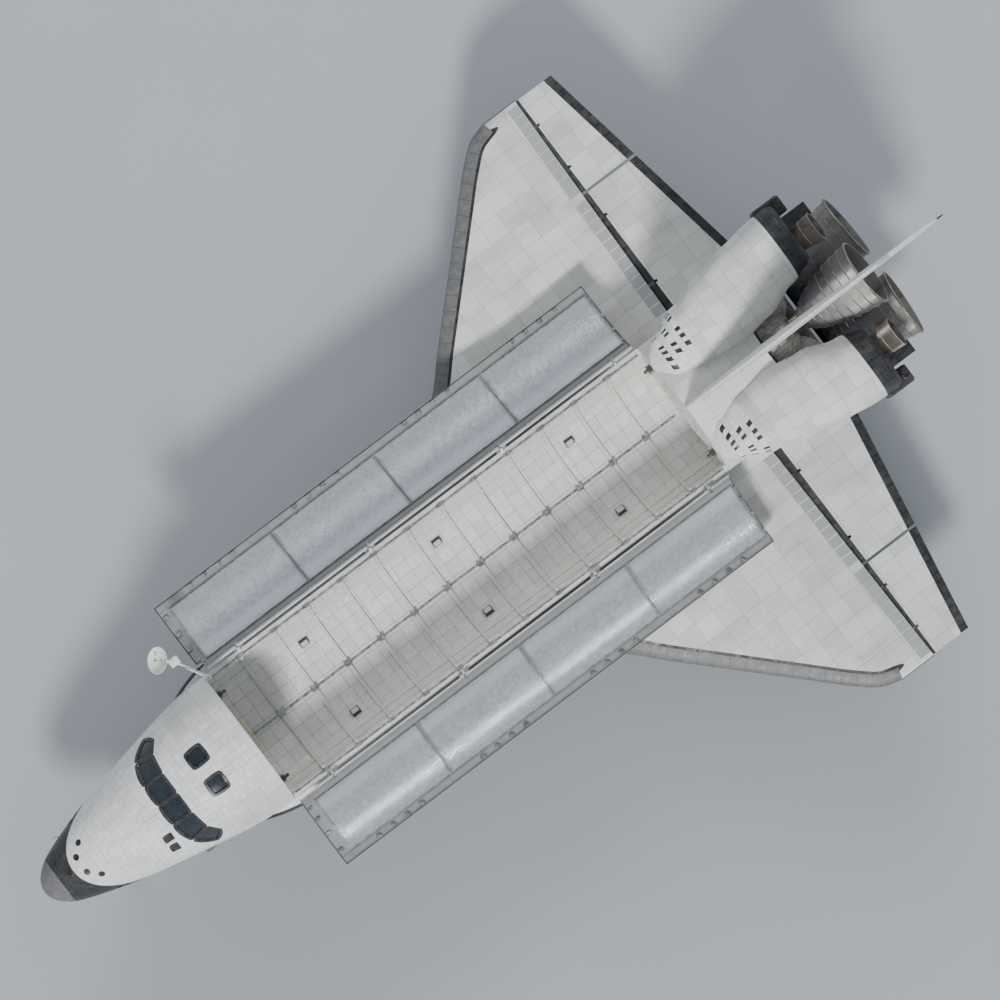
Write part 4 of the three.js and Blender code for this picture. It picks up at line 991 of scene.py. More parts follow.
def body_section(station, upper_half, inset):
    """Half width, shoulder, rise and power at a station, for its upper or its lower half."""
    # The table is read on the root of the distance from the tip, which keeps the nose round.
    table = BODY_SECTIONS.copy()
    table[:, 0] = np.sqrt(table[:, 0] - NOSE_TIP)
    root = np.sqrt(np.maximum(np.asarray(station, float) - NOSE_TIP, 0))
    columns = np.moveaxis(smooth_table(root, table), -1, 0)[1:]
    half, bottom, top, shoulder, upper, lower = columns
    upper_half = upper_half(shoulder)
    power = np.where(upper_half, upper, lower)
    rise = np.where(upper_half, top - shoulder, shoulder - bottom) - inset
    return half - inset, shoulder, rise, power


def body_rings(stations, inset=0.0, columns=176):
    """Rings of the body: half superellipses above and below the shoulder, drawn in by the inset."""
    stations = np.asarray(stations, float)[:, None]
    c, s = spin(columns)
    half, shoulder, rise, power = body_section(stations, lambda _: s >= 0, inset)
    y = half * np.sign(c) * np.abs(c) ** (2 / power)
    z = shoulder + rise * np.sign(s) * np.abs(s) ** (2 / power)
    return np.stack([np.broadcast_to(stations, y.shape), y, z], -1)


def on_skin(points, heart=CABIN_HEART, inset=0.0):
    """Where rays from the body's heart through points (in inches) pass the skin, by halving."""
    points = np.asarray(points, float)
    ray = points - heart
    low = np.zeros(points.shape[:-1])
    high = np.full(points.shape[:-1], 4.0)
    for _ in range(36):
        middle = (low + high) / 2
        x, y, z = np.moveaxis(heart + ray * middle[..., None], -1, 0)
        half, shoulder, rise, power = body_section(x, lambda middle_line: z >= middle_line, inset)
        inside = np.abs(y / half) ** power + np.abs((z - shoulder) / rise) ** power < 1
        low = np.where(inside, middle, low)
        high = np.where(inside, high, middle)
    return heart + ray * ((low + high) / 2)[..., None]


def body_side(x, z, inset=0.0):
    """How far out the body's skin is at a station and a waterline."""
    half, shoulder, rise, power = body_section(x, lambda middle_line: z >= middle_line, inset)
    share = np.clip(np.abs((z - shoulder) / rise), 0, 1)
    return half * (1 - share**power) ** (1 / power)


def inside_body(x, y, z, inset):
    """Where points lie deeper than an inset below the body's skin."""
    return np.abs(y) < body_side(x, z, inset)


# Nose, forward body and windows

# Corners of each window from ahead to behind, as station, side and waterline. All are mirrored.
FRONT_WINDOWS = [
    [[428, 2.5, 452], [429, 30, 447], [456, 31, 474], [457, 2.5, 478]],
    [[430, 34, 445], [438, 61, 431], [461, 59, 461], [457.5, 35, 473]],
    [[441, 64.5, 428], [467, 78, 424], [475, 73, 450], [464, 62.5, 459]],
]
ROOF_WINDOWS = [[[497, 13, 500], [497, 35, 497], [520, 36, 498], [520, 13, 502]]]
# Corners of the star trackers' two doors, drawn to starboard and mirrored to port.
TRACKER_DOORS = [
    [[408, 36, 427], [408, 46, 420], [421, 47, 428], [421, 37, 435]],
    [[408, 51, 416], [408, 60, 405.6], [421, 62, 411.7], [421, 52, 423]],
]
# The middle of each rear window, and half its hole's side.
REAR_WINDOW_SIDE = 16
REAR_WINDOW_HEIGHT = 459.5
REAR_WINDOW_HALF = 7.5
CORNER_SHARE = 0.15
# Columns of a window frame's section: how far out from the glass, and how far in from the skin.
FRAME_SECTION = [(-0.5, 2.8), (-0.5, 0.1), (0.1, -0.3), (4.2, -0.3), (4.8, 0.2), (4.8, 2.8)]
NOSE_WELL = ((330, -22, 240), (428, 22, 318))
HATCH_CENTRE = np.array([452, -87, 362.0])
HATCH_RADIUS = 19.7
HATCH_SLOPE = 0.3
# Columns: distance along the hatch's hole from outboard, radius.
HATCH_HOLE = [(0, 30.25), (60, 12.25)]
HATCH_GLASS = 5.0
HATCH_HINGE = np.array([452, -89, 341.6])
HATCHWAY_HEIGHT = 360
HATCHWAY_RADIUS = 20


def rounded(corners, steps=9):
    """A closed outline whose corners are replaced by short curves."""
    corners = np.asarray(corners, float)
    before, after = np.roll(corners, 1, 0), np.roll(corners, -1, 0)
    start = corners + (before - corners) * CORNER_SHARE
    end = corners + (after - corners) * CORNER_SHARE
    t = np.linspace(0, 1, steps)[None, :, None]
    bend = 2 * t * (1 - t) * corners[:, None]
    curves = (1 - t) ** 2 * start[:, None] + bend + t**2 * end[:, None]
    sides = []
    for k in range(len(corners)):
        straight = np.linspace(end[k], start[(k + 1) % len(corners)], 8)[1:-1]
        sides += [curves[k], straight]
    return np.concatenate(sides)


def widened(outline, by):
    """An outline with each point moved straight away from its middle."""
    arm = outline - outline.mean(0)
    return outline + arm / np.linalg.norm(arm, axis=1)[:, None] * by


def window_cutter(corners):
    """A hole through the skin: the rounded outline drawn in and out along rays from the heart."""
    ray = rounded(corners) - CABIN_HEART
    return grid(np.stack([CABIN_HEART + ray * share for share in (0.7, 1.25)]))


def window_frame(corners):
    """A black frame of tiles that stands a little proud of the skin round a window."""
    outline = rounded(corners)
    rows = [on_skin(widened(outline, out), inset=depth) for out, depth in FRAME_SECTION]
    return grid(np.stack(rows), loop=True)


def window_pane(corners, depth=2.2, thick=0.9):
    """A curved pane that lies a little way in from the skin."""
    outline = widened(rounded(corners), 0.4)
    middle = outline.mean(0)
    shares = (0.02, 0.3, 0.6, 0.85, 1.0)
    rows = [on_skin(middle + (outline - middle) * s, inset=depth) for s in shares]
    rows += [on_skin(middle + (outline - middle) * s, inset=depth + thick) for s in shares[::-1]]
    return grid(np.stack(rows))


def rear_window(start, end, extra, chamfer=None):
    """A block as wide as a rear window's hole and a little more, between two stations."""
    half = REAR_WINDOW_HALF + extra
    low = (start, REAR_WINDOW_SIDE - half, REAR_WINDOW_HEIGHT - half)
    high = (end, REAR_WINDOW_SIDE + half, REAR_WINDOW_HEIGHT + half)
    return brick(low, high, chamfer)


def cabin_hollow():
    """The pressure cabin: the skin drawn in by its wall, flat at the floor."""
    rings = body_rings(np.linspace(CABIN_FRONT, CABIN_BACK, 64), CABIN_WALL)
    rings[..., 2] = np.maximum(rings[..., 2], CABIN_FLOOR)
    return grid(rings)


def forward_body_cutters():
    """The cabin, the nose wheel's well, and the holes of the hatch, the windows and the hatchway."""
    hatch_hole = revolve(HATCH_HOLE, (HATCH_CENTRE[0], -120, HATCH_CENTRE[2]), (0, 1, 0), 72)
    cutters = [cabin_hollow(), brick(*NOSE_WELL, chamfer=0.01), hatch_hole]
    for _, side in SIDES[::-1]:
        cutters += [sided(window_cutter(c), side) for c in FRONT_WINDOWS + ROOF_WINDOWS]
        cutters.append(sided(rear_window(570, 585, 0, 1.2), side))
    way = [(0, HATCHWAY_RADIUS), (15, HATCHWAY_RADIUS)]
    return cutters + [revolve(way, (570, 0, HATCHWAY_HEIGHT), (1, 0, 0), 64)]


# Tests that pick faces take places (in inches) and normals.


def in_cabin(x, y, z, *normal):
    """The cabin's walls and floor."""
    return (x > CABIN_FRONT - 1) & (x < CABIN_BACK + 1) & (z > CABIN_FLOOR - 1) & inside_body(x, y, z, 1.5)


def in_nose_well(x, y, z, *normal):
    """The walls and the roof of the nose wheels' well."""
    end, side, top = NOSE_WELL[1]
    return (x < end + 1) & (z < top + 1) & (np.abs(y) < side + 1) & inside_body(x, y, z, 1)


def in_hatchway(x, y, z, nx, ny, nz):
    """The sloping wall of the side hatch's hole."""
    far = np.hypot(x - HATCH_CENTRE[0], z - HATCH_CENTRE[2])
    return (y < -70) & (far < HATCH_RADIUS + 2) & (np.abs(ny) < 0.7)


def build_forward_body():
    """Nose cap, forward fuselage with its cabin and wheel well, and the wall behind the cabin."""
    tip = NOSE_TIP + np.linspace(0.12, math.sqrt(CAP_END - 0.02 - NOSE_TIP), 44) ** 2
    cap = grid(body_rings(tip))
    piece("nose_cap_fine", cap, carbon(), replaces=["nose_cap"])
    ahead, aft = np.linspace(CAP_END, 420, 56), np.linspace(422.5, BULKHEAD_BACK, 64)
    body = carve(grid(body_rings(np.r_[ahead, aft])), forward_body_cutters())
    finishes = [body_skin(), cabin_paint(), well_paint(), liner(), frame_tiles()]
    replaced = ["forward_fuselage", "cabin_bulkhead"]
    made = piece("forward_body", body, finishes, replaces=replaced)
    mark_faces(made, 1, in_cabin)
    mark_faces(made, 2, in_nose_well)
    mark_faces(made, 3, lambda x, y, z, nx, ny, nz: (x > BULKHEAD_BACK - 1) & (nx > 0.9))
    # The walls of the hatch's hole get black tiles: painted shade, so that the gap round the hatch reads dark
    # all the way round.
    mark_faces(made, 4, in_hatchway)


def build_windows():
    """Black frames proud of the skin and dark panes set in, for all eight outer windows."""
    front = both(*map(window_pane, FRONT_WINDOWS))
    roof = both(*map(window_pane, ROOF_WINDOWS))
    frames = both(*map(window_frame, FRONT_WINDOWS + ROOF_WINDOWS))
    piece("windshield_panes", front, pane(), replaces=["windshield"])
    piece("roof_panes", roof, pane(), replaces=["overhead_windows"])
    piece("window_frames", frames, frame_tiles())
    piece("rear_panes", both(rear_window(576.6, 577.6, 0.7)), pane())
    doors = [mirrored(window_pane(corners, -0.2, 0.7)) for corners in TRACKER_DOORS]
    piece("tracker_doors", join(*doors), frame_tiles(), smooth=30)


def hatch_rings(shares, inset, radius):
    """Circles on the port skin round the hatch's middle."""
    c, s = spin(72)
    rows = []
    for share in shares:
        x = HATCH_CENTRE[0] + radius * share * c
        z = HATCH_CENTRE[2] + radius * share * s
        rows.append(np.stack([x, -body_side(x, z, inset), z], -1))
    return rows


def hatch_band(section, radius):
    """A ring round the hatch's middle. Columns of a section: share of the radius, inset."""
    rows = [hatch_rings([share], inset, radius)[0] for share, inset in section]
    return grid(np.stack(rows), loop=True)


def build_hatch():
    """The round side hatch with its window, and the seal round its hole."""
    window = HATCH_GLASS / HATCH_RADIUS
    outer = hatch_rings(np.linspace(window, 1, 9), 0, HATCH_RADIUS)
    inner_radius = HATCH_RADIUS - HATCH_SLOPE * CABIN_WALL
    inner = hatch_rings(np.linspace(1, window, 5), CABIN_WALL, inner_radius)
    disc = grid(np.stack(outer + inner), loop=True)
    finishes = [body_skin(), frame_tiles()]
    made = piece("hatch_disc", disc, finishes, "hatch", replaces=["side_hatch"])
    # The hatch's rim gets black tiles: painted shade in the gap round the hatch.
    mark_faces(made, 1, lambda x, y, z, nx, ny, nz: np.abs(ny) < 0.6)
    glass = hatch_rings((0.02, 1), 1.2, 5.6) + hatch_rings((1, 0.02), 2.2, 5.6)
    piece("hatch_pane", grid(np.stack(glass)), pane(), "hatch")
    rim = hatch_band([(0.93, -0.25), (1.28, -0.25), (1.32, 0.4), (0.93, 0.4)], HATCH_GLASS)
    piece("hatch_window_ring", rim, frame_tiles(), "hatch")
    seal = hatch_band([(1.024, -0.1), (1.07, -0.1), (1.07, 0.5), (1.024, 0.5)], HATCH_RADIUS)
    piece("hatch_seal", seal, frame_tiles())


def build_hatch_hinge():
    """The side hatch's hinge: a pin and a strap on the hatch, and two ears on the body."""
    x, y, z = HATCH_HINGE
    steel = metal("hinge_steel")
    hinge = [
        rod((x - 8, y, z), (x + 8, y, z), 0.5),
        rod((x - 2.9, y, z), (x + 2.9, y, z), 1.1),
        brick((x - 2.9, y - 0.4, z), (x + 2.9, y + 1.5, z + 6)),
        brick((x - 2.9, y + 1.4, z + 1.6), (x + 2.9, y + 4.6, z + 5)),
    ]
    piece("hatch_hinge", join(*hinge), steel, "hatch")
    ears = []
    for low, high in ((x - 8, x - 3.2), (x + 3.2, x + 8)):
        ears.append(rod((low, y, z), (high, y, z), 1.1))
        ears.append(brick((low, y - 0.4, z - 3), (high, y + 5, z)))
    piece("hatch_ears", join(*ears), steel)


# Wings

# Columns: distance out, leading edge station, depth at the thickest, height of the edge.
WING_SECTIONS = np.array([
    [102.02, 532, 62, 18],
    [112, 562, 60, 18],
    [120, 602, 58, 17.5],
    [136, 701, 55, 17],
    [160, 852, 51, 16],
    [178, 966, 47, 15],
    [189, 1014, 45, 14],
    [212, 1049, 41, 13],
    [260, 1096, 35, 11.5],
    [312.5, 1148.5, 30, 10],
    [390, 1226, 23, 8],
    [440, 1277, 18.5, 6.5],
    [460, 1303, 16, 5.5],
    [468.34, 1330, 13, 5],
])
WING_ROOT = 102.02
WING_TIP = 468.34
BELLY = 272
DIHEDRAL = math.tan(3.52 * DEG)
ELEVON_HINGE = 1387
ELEVON_ROOT = 119
# How thick an elevon's round nose is at its root, and how much less at the tip, as radii.
ELEVON_NOSE = 15
ELEVON_TAPER = 10
COVE_GAP = 0.5
# The angles round the elevon's hinge where the cove meets the upper and the lower skin.
COVE_TOP = 48
COVE_BOTTOM = 148
EDGE_START = 178
EDGE_END = 468.2
EDGE_PANELS = 22
# Columns: how proud a strip of the edge is, its thickness, its rows and its columns of points.
PANEL = (0.55, 0.9, 7, 49)
SEAL = (0.35, 0.6, 3, 33)
MAIN_WELL = ((1050, 108, 240), (1200, 166, 298))
# How far out the elevons' hinge brackets are.
ELEVON_BRACKETS = (160, 272, 352.5, 422.5)
BRACKET_WIDTH = 3


def wing_base(y):
    """The waterline of the wing's flat underside."""
    return BELLY + np.maximum(0, y - 102) * DIHEDRAL


def elevon_nose(y):
    """The radius of the elevons' round nose."""
    return ELEVON_NOSE - ELEVON_TAPER * (np.maximum(y, ELEVON_ROOT) - ELEVON_ROOT) / (WING_TIP - ELEVON_ROOT)


def hinge_height(y):
    """The waterline of the elevons' hinge."""
    return wing_base(np.maximum(y, ELEVON_ROOT)) + 1.2 + elevon_nose(y)


def cove_point(y, degrees):
    """Station and waterline of a point of the round cove in front of an elevon."""
    radius = elevon_nose(y) + COVE_GAP
    angle = degrees * DEG
    return ELEVON_HINGE - radius * np.sin(angle), hinge_height(y) + radius * np.cos(angle)


def thinned(y, z):
    """Heights drawn in towards the wing's middle over the last inches of the tip."""
    middle = wing_base(y) + elevon_nose(y)
    return middle + (z - middle) * (1 - 0.22 * np.clip((y - 464) / (WING_TIP - 464), 0, 1) ** 3)


def wing_height(x, y, above):
    """The wing's upper or lower surface: a root-shaped rise from the edge, settling to the cove."""
    _, front, depth, edge = np.moveaxis(smooth_table(y, WING_SECTIONS), -1, 0)
    base = wing_base(y)
    if above:
        back, ledge = cove_point(y, COVE_TOP)
        share = np.clip((x - front) / (back - front), 0, 1)
        rise = np.minimum(1, (share / 0.36) ** 0.52)
        settle = np.maximum(0, (share - 0.36) / 0.64) ** 1.6
        crown = base + edge + (depth - edge) * rise
        return thinned(y, crown + (ledge + 1.5 - crown) * settle)
    share = np.clip((x - front) / (cove_point(y, COVE_BOTTOM)[0] - front), 0, 1)
    return thinned(y, base + edge * np.maximum(0, 1 - (share / 0.14) ** 0.6))


def wing_skin_shape():
    """Rings round the wing: along the top from the edge, down the cove, and back along the bottom."""
    inner = np.linspace(WING_ROOT, 178, 60)
    outer = np.linspace(219, 464, 84)
    y = np.r_[inner, np.linspace(179, 216, 26), outer, 466, 467.3, WING_TIP][:, None]
    front = smooth_table(y[:, 0], WING_SECTIONS)[:, 1:2]
    top = np.linspace(0, 1, 52)[None] ** 2.2
    bottom = np.linspace(1, 0.004, 44)[None] ** 2.2
    upper_x = front + (cove_point(y, COVE_TOP)[0] - front) * top
    lower_x = front + (cove_point(y, COVE_BOTTOM)[0] - front) * bottom
    cove_x, cove_z = cove_point(y, np.linspace(COVE_TOP, COVE_BOTTOM, 18)[None])
    upper_z = wing_height(upper_x, np.broadcast_to(y, upper_x.shape), True)
    lower_z = wing_height(lower_x, np.broadcast_to(y, lower_x.shape), False)
    x = np.hstack([upper_x, cove_x, lower_x])
    z = np.hstack([upper_z, thinned(y, cove_z), lower_z])
    return grid(np.stack([x, np.broadcast_to(y, x.shape), z], -1))


def eye_arm(root, eye, y, width, radius):
    """A flat arm with a round end: station and waterline of its root and its eye."""
    root, eye = np.asarray(root, float), np.asarray(eye, float)
    heading = math.atan2(eye[1] - root[1], eye[0] - root[0])
    angle = heading + np.linspace(-0.5, 0.5, 15) * math.pi
    tip = eye + radius * np.stack([np.cos(angle), np.sin(angle)], 1)
    square = radius * np.array([-math.sin(heading), math.cos(heading)])
    outline = np.vstack([tip, root + square, root - square])
    flat = np.stack([outline[:, 0], np.full(len(outline), y), outline[:, 1]], 1)
    return prism(flat, (0, -width / 2, 0), (0, width / 2, 0))


def edge_lines():
    """The leading edge outboard of the strake: lengths along it, its points and its way inwards."""
    y = np.linspace(EDGE_START, EDGE_END, 900)
    x = smooth_table(y, WING_SECTIONS)[:, 1]
    run = np.concatenate([[0], np.cumsum(np.hypot(np.diff(x), np.diff(y)))])
    tangent = np.stack([np.gradient(x, run), np.gradient(y, run)], 1)
    inward = np.stack([tangent[:, 1], -tangent[:, 0]], 1)
    return run, np.stack([x, y], 1), inward


def edge_shell(start, end, lines, proud, thick, rows, columns):
    """A panel or a seal bent over the leading edge between two lengths along it."""
    run, edge, inward = lines
    at = np.linspace(start, end, rows)
    point = np.stack([np.interp(at, run, edge[:, k]) for k in (0, 1)], 1)
    square = np.stack([np.interp(at, run, inward[:, k]) for k in (0, 1)], 1)
    square /= np.linalg.norm(square, axis=1)[:, None]
    # The strips reach back 4 inches at the strake and 17 from 110 inches along the edge.
    depth = np.interp(at, [0, 110], [4, 17])[:, None]
    t = np.linspace(1, -1, columns)
    loops = []
    for lift, order in ((proud, t), (proud - thick, t[::-1])):
        back = depth * order**2 - lift * (1 - np.abs(order)) + 0.02
        plan = point[:, None] + square[:, None] * back[..., None]
        x, y = plan[..., 0], np.minimum(plan[..., 1], WING_TIP - 0.04)
        z = np.where(order > 0, wing_height(x, y, True), wing_height(x, y, False))
        loops.append(np.stack([x, y, z + lift * np.sign(order) * np.abs(order) ** 0.5], -1))
    return grid(np.concatenate(loops, 1))


def edge_strips():
    """The starboard leading edge's panels, and the seals between them."""
    lines = edge_lines()
    cuts = np.linspace(0, lines[0][-1], EDGE_PANELS + 1)
    panels = [edge_shell(a + 0.4, b - 0.4, lines, *PANEL) for a, b in zip(cuts, cuts[1:])]
    seals = [edge_shell(max(a - 0.9, 0), a + 0.9, lines, *SEAL) for a in cuts[:-1]]
    return join(*panels), join(*seals)


def elevon_arms():
    """The arms that carry the starboard elevons."""
    arms = []
    for y in ELEVON_BRACKETS:
        height = hinge_height(y)
        root = (ELEVON_HINGE - elevon_nose(y) - 4, height + 1)
        arms.append(eye_arm(root, (ELEVON_HINGE, height), y, BRACKET_WIDTH, 2.6))
    return join(*arms)


def build_wings():
    """Both wings: skin with a wheel well, carbon edge panels with seals, and elevon brackets."""
    finishes = [wing_skin(), well_paint()]
    for name, side in SIDES:
        well = sided(brick(*MAIN_WELL, chamfer=0.01), side)
        shape = carve(sided(wing_skin_shape(), side), [well])
        replaced = ["wing_" + name]
        made = piece("wing_skin_" + name, shape, finishes, smooth=36, replaces=replaced)
        mark_faces(made, 1, in_main_well)
        mark_behind_edge(made)
    panels, seals = edge_strips()
    pair("edge_panels_", panels, carbon(), "carbon_edge", replaces="leading_edge_")
    pair("edge_seals_", seals, edge_seal(), "carbon_edge")
    pair("elevon_arms_", elevon_arms(), metal("bracket_metal"), "bare_metal")


def in_main_well(x, y, z, *normal):
    """The walls and the roof of a main wheel well."""
    out = np.abs(y)
    low = wing_base(out) + 0.3
    (start, near, _), (end, far, top) = MAIN_WELL
    level = (z > low) & (z < top + 0.5)
    return (x > start - 0.5) & (x < end + 0.5) & (out > near - 0.5) & (out < far + 0.5) & level


def mark_behind_edge(made):
    """Stores how far each corner of a wing lies from the leading edge, seen from above, in metres."""
    points = in_inches(read_all(made.data.vertices, "co"))
    y = np.linspace(WING_ROOT, WING_TIP, 600)
    x = smooth_table(y, WING_SECTIONS)[:, 1]
    far = np.hypot(points[:, :1] - x, np.abs(points[:, 1:2]) - y).min(1)
    layer = made.data.attributes.new("behind_edge", "FLOAT", "POINT")
    layer.data.foreach_set("value", (far * INCH).astype(np.float32))


def build_flipper_plates():
    """The row of small sealing plates on top of the wing, in front of the elevons."""
    plates = []
    for start in np.r_[np.arange(120, 306, 15.5), np.arange(316, 462, 14.6)]:
        y = np.linspace(start, start + 13.6, 4)[:, None]
        back = cove_point(y, COVE_TOP)[0] - 0.3
        x = back - np.linspace(1, 0, 6)[None] * 17
        wide = np.broadcast_to(y, x.shape)
        top = wing_height(x, wide, True)
        upper = np.stack([x, wide, top + 0.3], -1)
        lower = np.stack([x, wide, top - 0.4], -1)[:, ::-1]
        plates.append(grid(np.concatenate([upper, lower], 1)))
    look = painted("plate_paint", rough=(0.35, 0.5))
    pair("flipper_plates_", join(*plates), look, "bare_metal", smooth=30)


# Aft body

# Columns: name, gimbal's station, side and waterline, tilt up and tilt out in degrees.
ENGINES = [
    ("top", 1445, 0, 443, 16, 0),
    ("left", 1468, -53, 342.6, 10, -3.5),
    ("right", 1468, 53, 342.6, 10, 3.5),
]
AFT_FRONT = 1306.02
BALL = 46
SOCKET = 47.6
BODY_HALF = 102
SHOULDER = 395
# Station and waterline of the corners of the stubs beside the body flap.
STUB_OUTLINE = np.array([
    [1379.4, 0, BELLY], [1516, 0, 274], [1516, 0, BELLY + 14], [1379.4, 0, BELLY + 30],
])


def aim_of(up, out):
    """The direction of an engine's axis."""
    up, out = up * DEG, out * DEG
    return np.array([math.cos(up) * math.cos(out), math.sin(out), math.sin(up)])


def aft_skin_shape():
    """The aft body: flat below, upright sides, a round back, and a sloping rear wall."""
    wall = np.linspace(BELLY + 1.5, SHOULDER, 40)
    arc = np.linspace(14, 166, 90) * DEG
    belly = np.linspace(-100.5, 100.5, 60)
    y = np.r_[np.full(40, BODY_HALF), 105 * np.cos(arc), np.full(40, -BODY_HALF), belly][None]
    z = np.r_[wall, SHOULDER + 105 * np.sin(arc), wall[::-1], np.full(60, BELLY)][None]
    end = np.interp(z, [272, 274, 490, 500], [1516.7, 1516, 1440, 1436])
    share = np.linspace(0, 1, 50)[:, None]
    x = AFT_FRONT + share * (end - AFT_FRONT)
    low = BELLY + np.maximum(0, x - 1345) * 2 / 171
    return grid(np.stack([x, np.broadcast_to(y, x.shape), np.maximum(z, low)], -1))


def ball(centre, radius):
    """A closed ball."""
    angle = np.linspace(0.5, 179.5, 48) * DEG
    return revolve(np.stack([radius * np.cos(angle), radius * np.sin(angle)], 1), centre, (1, 0, 0), 72)


def in_socket(x, y, z, *normal):
    """The walls of the engines' round sockets."""
    inside = np.zeros(x.shape, bool)
    for _, cx, cy, cz, _, _ in ENGINES:
        far = np.sqrt((x - cx) ** 2 + (y - cy) ** 2 + (z - cz) ** 2)
        inside |= far < SOCKET + 0.3
    return inside


def build_aft_body():
    """The aft fuselage with three sockets, its side stubs and the body flap's arms."""
    shape = carve(aft_skin_shape(), [ball(row[1:4], SOCKET) for row in ENGINES])
    finishes = [side_skin(), base_skin(), frame_tiles(), liner()]
    made = piece("aft_body", shape, finishes, smooth=30, replaces=["aft_fuselage"])
    mark_faces(made, 1, lambda x, y, z, nx, ny, nz: (x > 1430) & (nx > 0.6))
    mark_faces(made, 2, in_socket)
    mark_faces(made, 3, lambda x, y, z, nx, ny, nz: (x < AFT_FRONT + 0.1) & (nx < -0.9))
    stubs = both(prism(STUB_OUTLINE, (0, 99, 0), (0, 118, 0)))
    piece("aft_stubs", stubs, side_skin())
    arms = [eye_arm((1509, 284), (1532, 290), y, 4, 3.4) for y in (-70, 70)]
    piece("flap_arms", join(*arms), metal("arm_metal"))


# Engines

# Columns: distance from the gimbal, radius.
BELL_OUTSIDE = [
    (44, 12), (56, 12), (64, 17.5), (74, 24), (84, 29.2), (96, 33.5), (122, 41), (146, 45), (168, 47.3),
]
BELL_INSIDE = [
    (168, 45.8), (146, 43.6), (122, 39.5), (96, 32), (84, 27.7), (74, 22.5), (66, 16), (62, 11), (60, 0.4),
]
# Columns: distance from the gimbal, thickness of each band round the bell.
BELL_BANDS = [
    (70, 0.7), (79, 0.7), (89, 0.8), (100, 0.8), (112, 0.9), (125, 0.9), (139, 0.9), (153, 0.9), (166.4, 1.3),
]
DOME_WALL = 3


def build_engines():
    """Each main engine: a quilted dome, and a bell of tubes with bands and a lip."""
    quilt = heat_blanket()
    wall = np.vstack([curve(BELL_OUTSIDE, 44), curve(BELL_INSIDE, 44)])
    arc = np.linspace(0.6, 88, 26) * DEG
    half = np.stack([np.cos(arc), np.sin(arc)], 1)
    dome = np.vstack([BALL * half, (BALL - DOME_WALL) * half[::-1]])
    for name, x, y, z, up, out in ENGINES:
        centre, aim = np.array([x, y, z], float), aim_of(up, out)
        body = "engine_" + name
        piece("dome_" + name, revolve(dome, centre, aim, 96), quilt, body, 50)
        look = bell_metal("bell_metal_" + name, place(centre), up, out)
        bell = revolve(wall, centre, aim, 144)
        piece("bell_" + name, bell, look, body, 40, ["main_engine_" + name])
        rings = []
        for along, thick in BELL_BANDS:
            radius = np.interp(along, *np.array(BELL_OUTSIDE).T)
            rings.append(hoop(centre + aim * along, aim, radius + 0.35 * thick, thick, 96, 8))
        piece("bell_bands_" + name, join(*rings), metal("band_metal"), body, 50)


# Manoeuvring pods

# Columns: station, inner side, outer side, bottom, top.
POD_SECTIONS = np.array([
    [1304, 50, 84, 462, 482],
    [1330, 36, 102, 446, 504],
    [1370, 27, 118, 436, 521],
    [1420, 23, 132, 430, 535],
    [1470, 30, 142, 428, 543],
    [1520, 46, 148, 428, 546],
    [1548, 54, 150, 430, 544],
    [1556, 58, 147, 438, 536],
])
POD_PIVOT = np.array([1518, 88, 492.0])
POD_TILT = 15
POD_SOCKET = 21.5
# Columns: distance from the pivot, radius.
POD_BELL = [
    (-4.9, 12), (6, 12), (8, 8.5), (10, 6.5), (15, 8.4), (22, 11), (30, 13.8), (38, 16), (56, 19.6),
    (74, 21.3), (74, 20.3), (56, 18.6), (38, 15), (22, 10), (14, 6), (13, 0.3),
]
POD_BANDS = [(24, 11.8), (39, 16.4), (56, 19.8), (73.4, 21.2)]
THRUSTER_BOX = ((1530, 128, 446), (1573, 154, 496))


def pod_skin_shape():
    """A pod: superellipse rings, drawn in to a blunt round front."""
    tip = 1304 + np.linspace(0, 1, 22) ** 2 * 22
    x = np.r_[tip, np.linspace(1329, 1547, 60), np.linspace(1549, 1556, 8)]
    _, inner, outer, low, high = (c[:, None] for c in smooth_table(x, POD_SECTIONS).T)
    close = np.sqrt(1 - (1 - np.clip((x - 1303.98) / 8, 0, 1)) ** 2)[:, None]
    c, s = (np.sign(part) * np.abs(part) ** 0.8 for part in spin(120))
    y = (inner + outer) / 2 + (outer - inner) / 2 * c * close
    z = (low + high) / 2 + (high - low) / 2 * s * close
    return grid(np.stack([np.broadcast_to(x[:, None], y.shape), y, z], -1))


def in_pod_socket(x, y, z, *normal):
    """The walls of the round holes that the pods' engines stand in."""
    px, py, pz = POD_PIVOT
    above_axis = z - pz - (x - px) * math.tan(POD_TILT * DEG)
    return (np.hypot(np.abs(y) - py, above_axis) < POD_SOCKET + 1.1) & (x > 1505)


def build_pods():
    """The manoeuvring pods with their thruster boxes, and the engine at the back of each."""
    aim, skin = aim_of(POD_TILT, 0), pod_skin()
    socket = revolve([(-5, POD_SOCKET), (90, POD_SOCKET)], POD_PIVOT, aim, 72)
    top_ball = ball(ENGINES[0][1:4], BALL + 2.4)
    bell = revolve(POD_BELL, POD_PIVOT, aim, 96)
    for name, side in SIDES:
        shape = carve(sided(pod_skin_shape(), side), [sided(socket, side), top_ball])
        looks, replaced = [skin, frame_tiles()], ["pod_" + name]
        made = piece("pod_skin_" + name, shape, looks, smooth=34, replaces=replaced)
        mark_faces(made, 1, in_pod_socket)
        look = bell_metal("pod_bell_metal_" + name, place(POD_PIVOT * (1, side, 1)), POD_TILT, 0)
        shape, replaced = sided(bell, side), ["pod_engine_" + name]
        piece("pod_bell_" + name, shape, look, smooth=40, replaces=replaced)
    pair("thruster_box_", brick(*THRUSTER_BOX, 2.5), skin, "tile_white")
    rings = [hoop(POD_PIVOT + aim * along, aim, radius, 0.45, 72, 8) for along, radius in POD_BANDS]
    pair("pod_bands_", join(*rings), heat_blanket(), "nozzle_metal", smooth=50)


# Payload bay doors and radiators, drawn on the closed starboard door

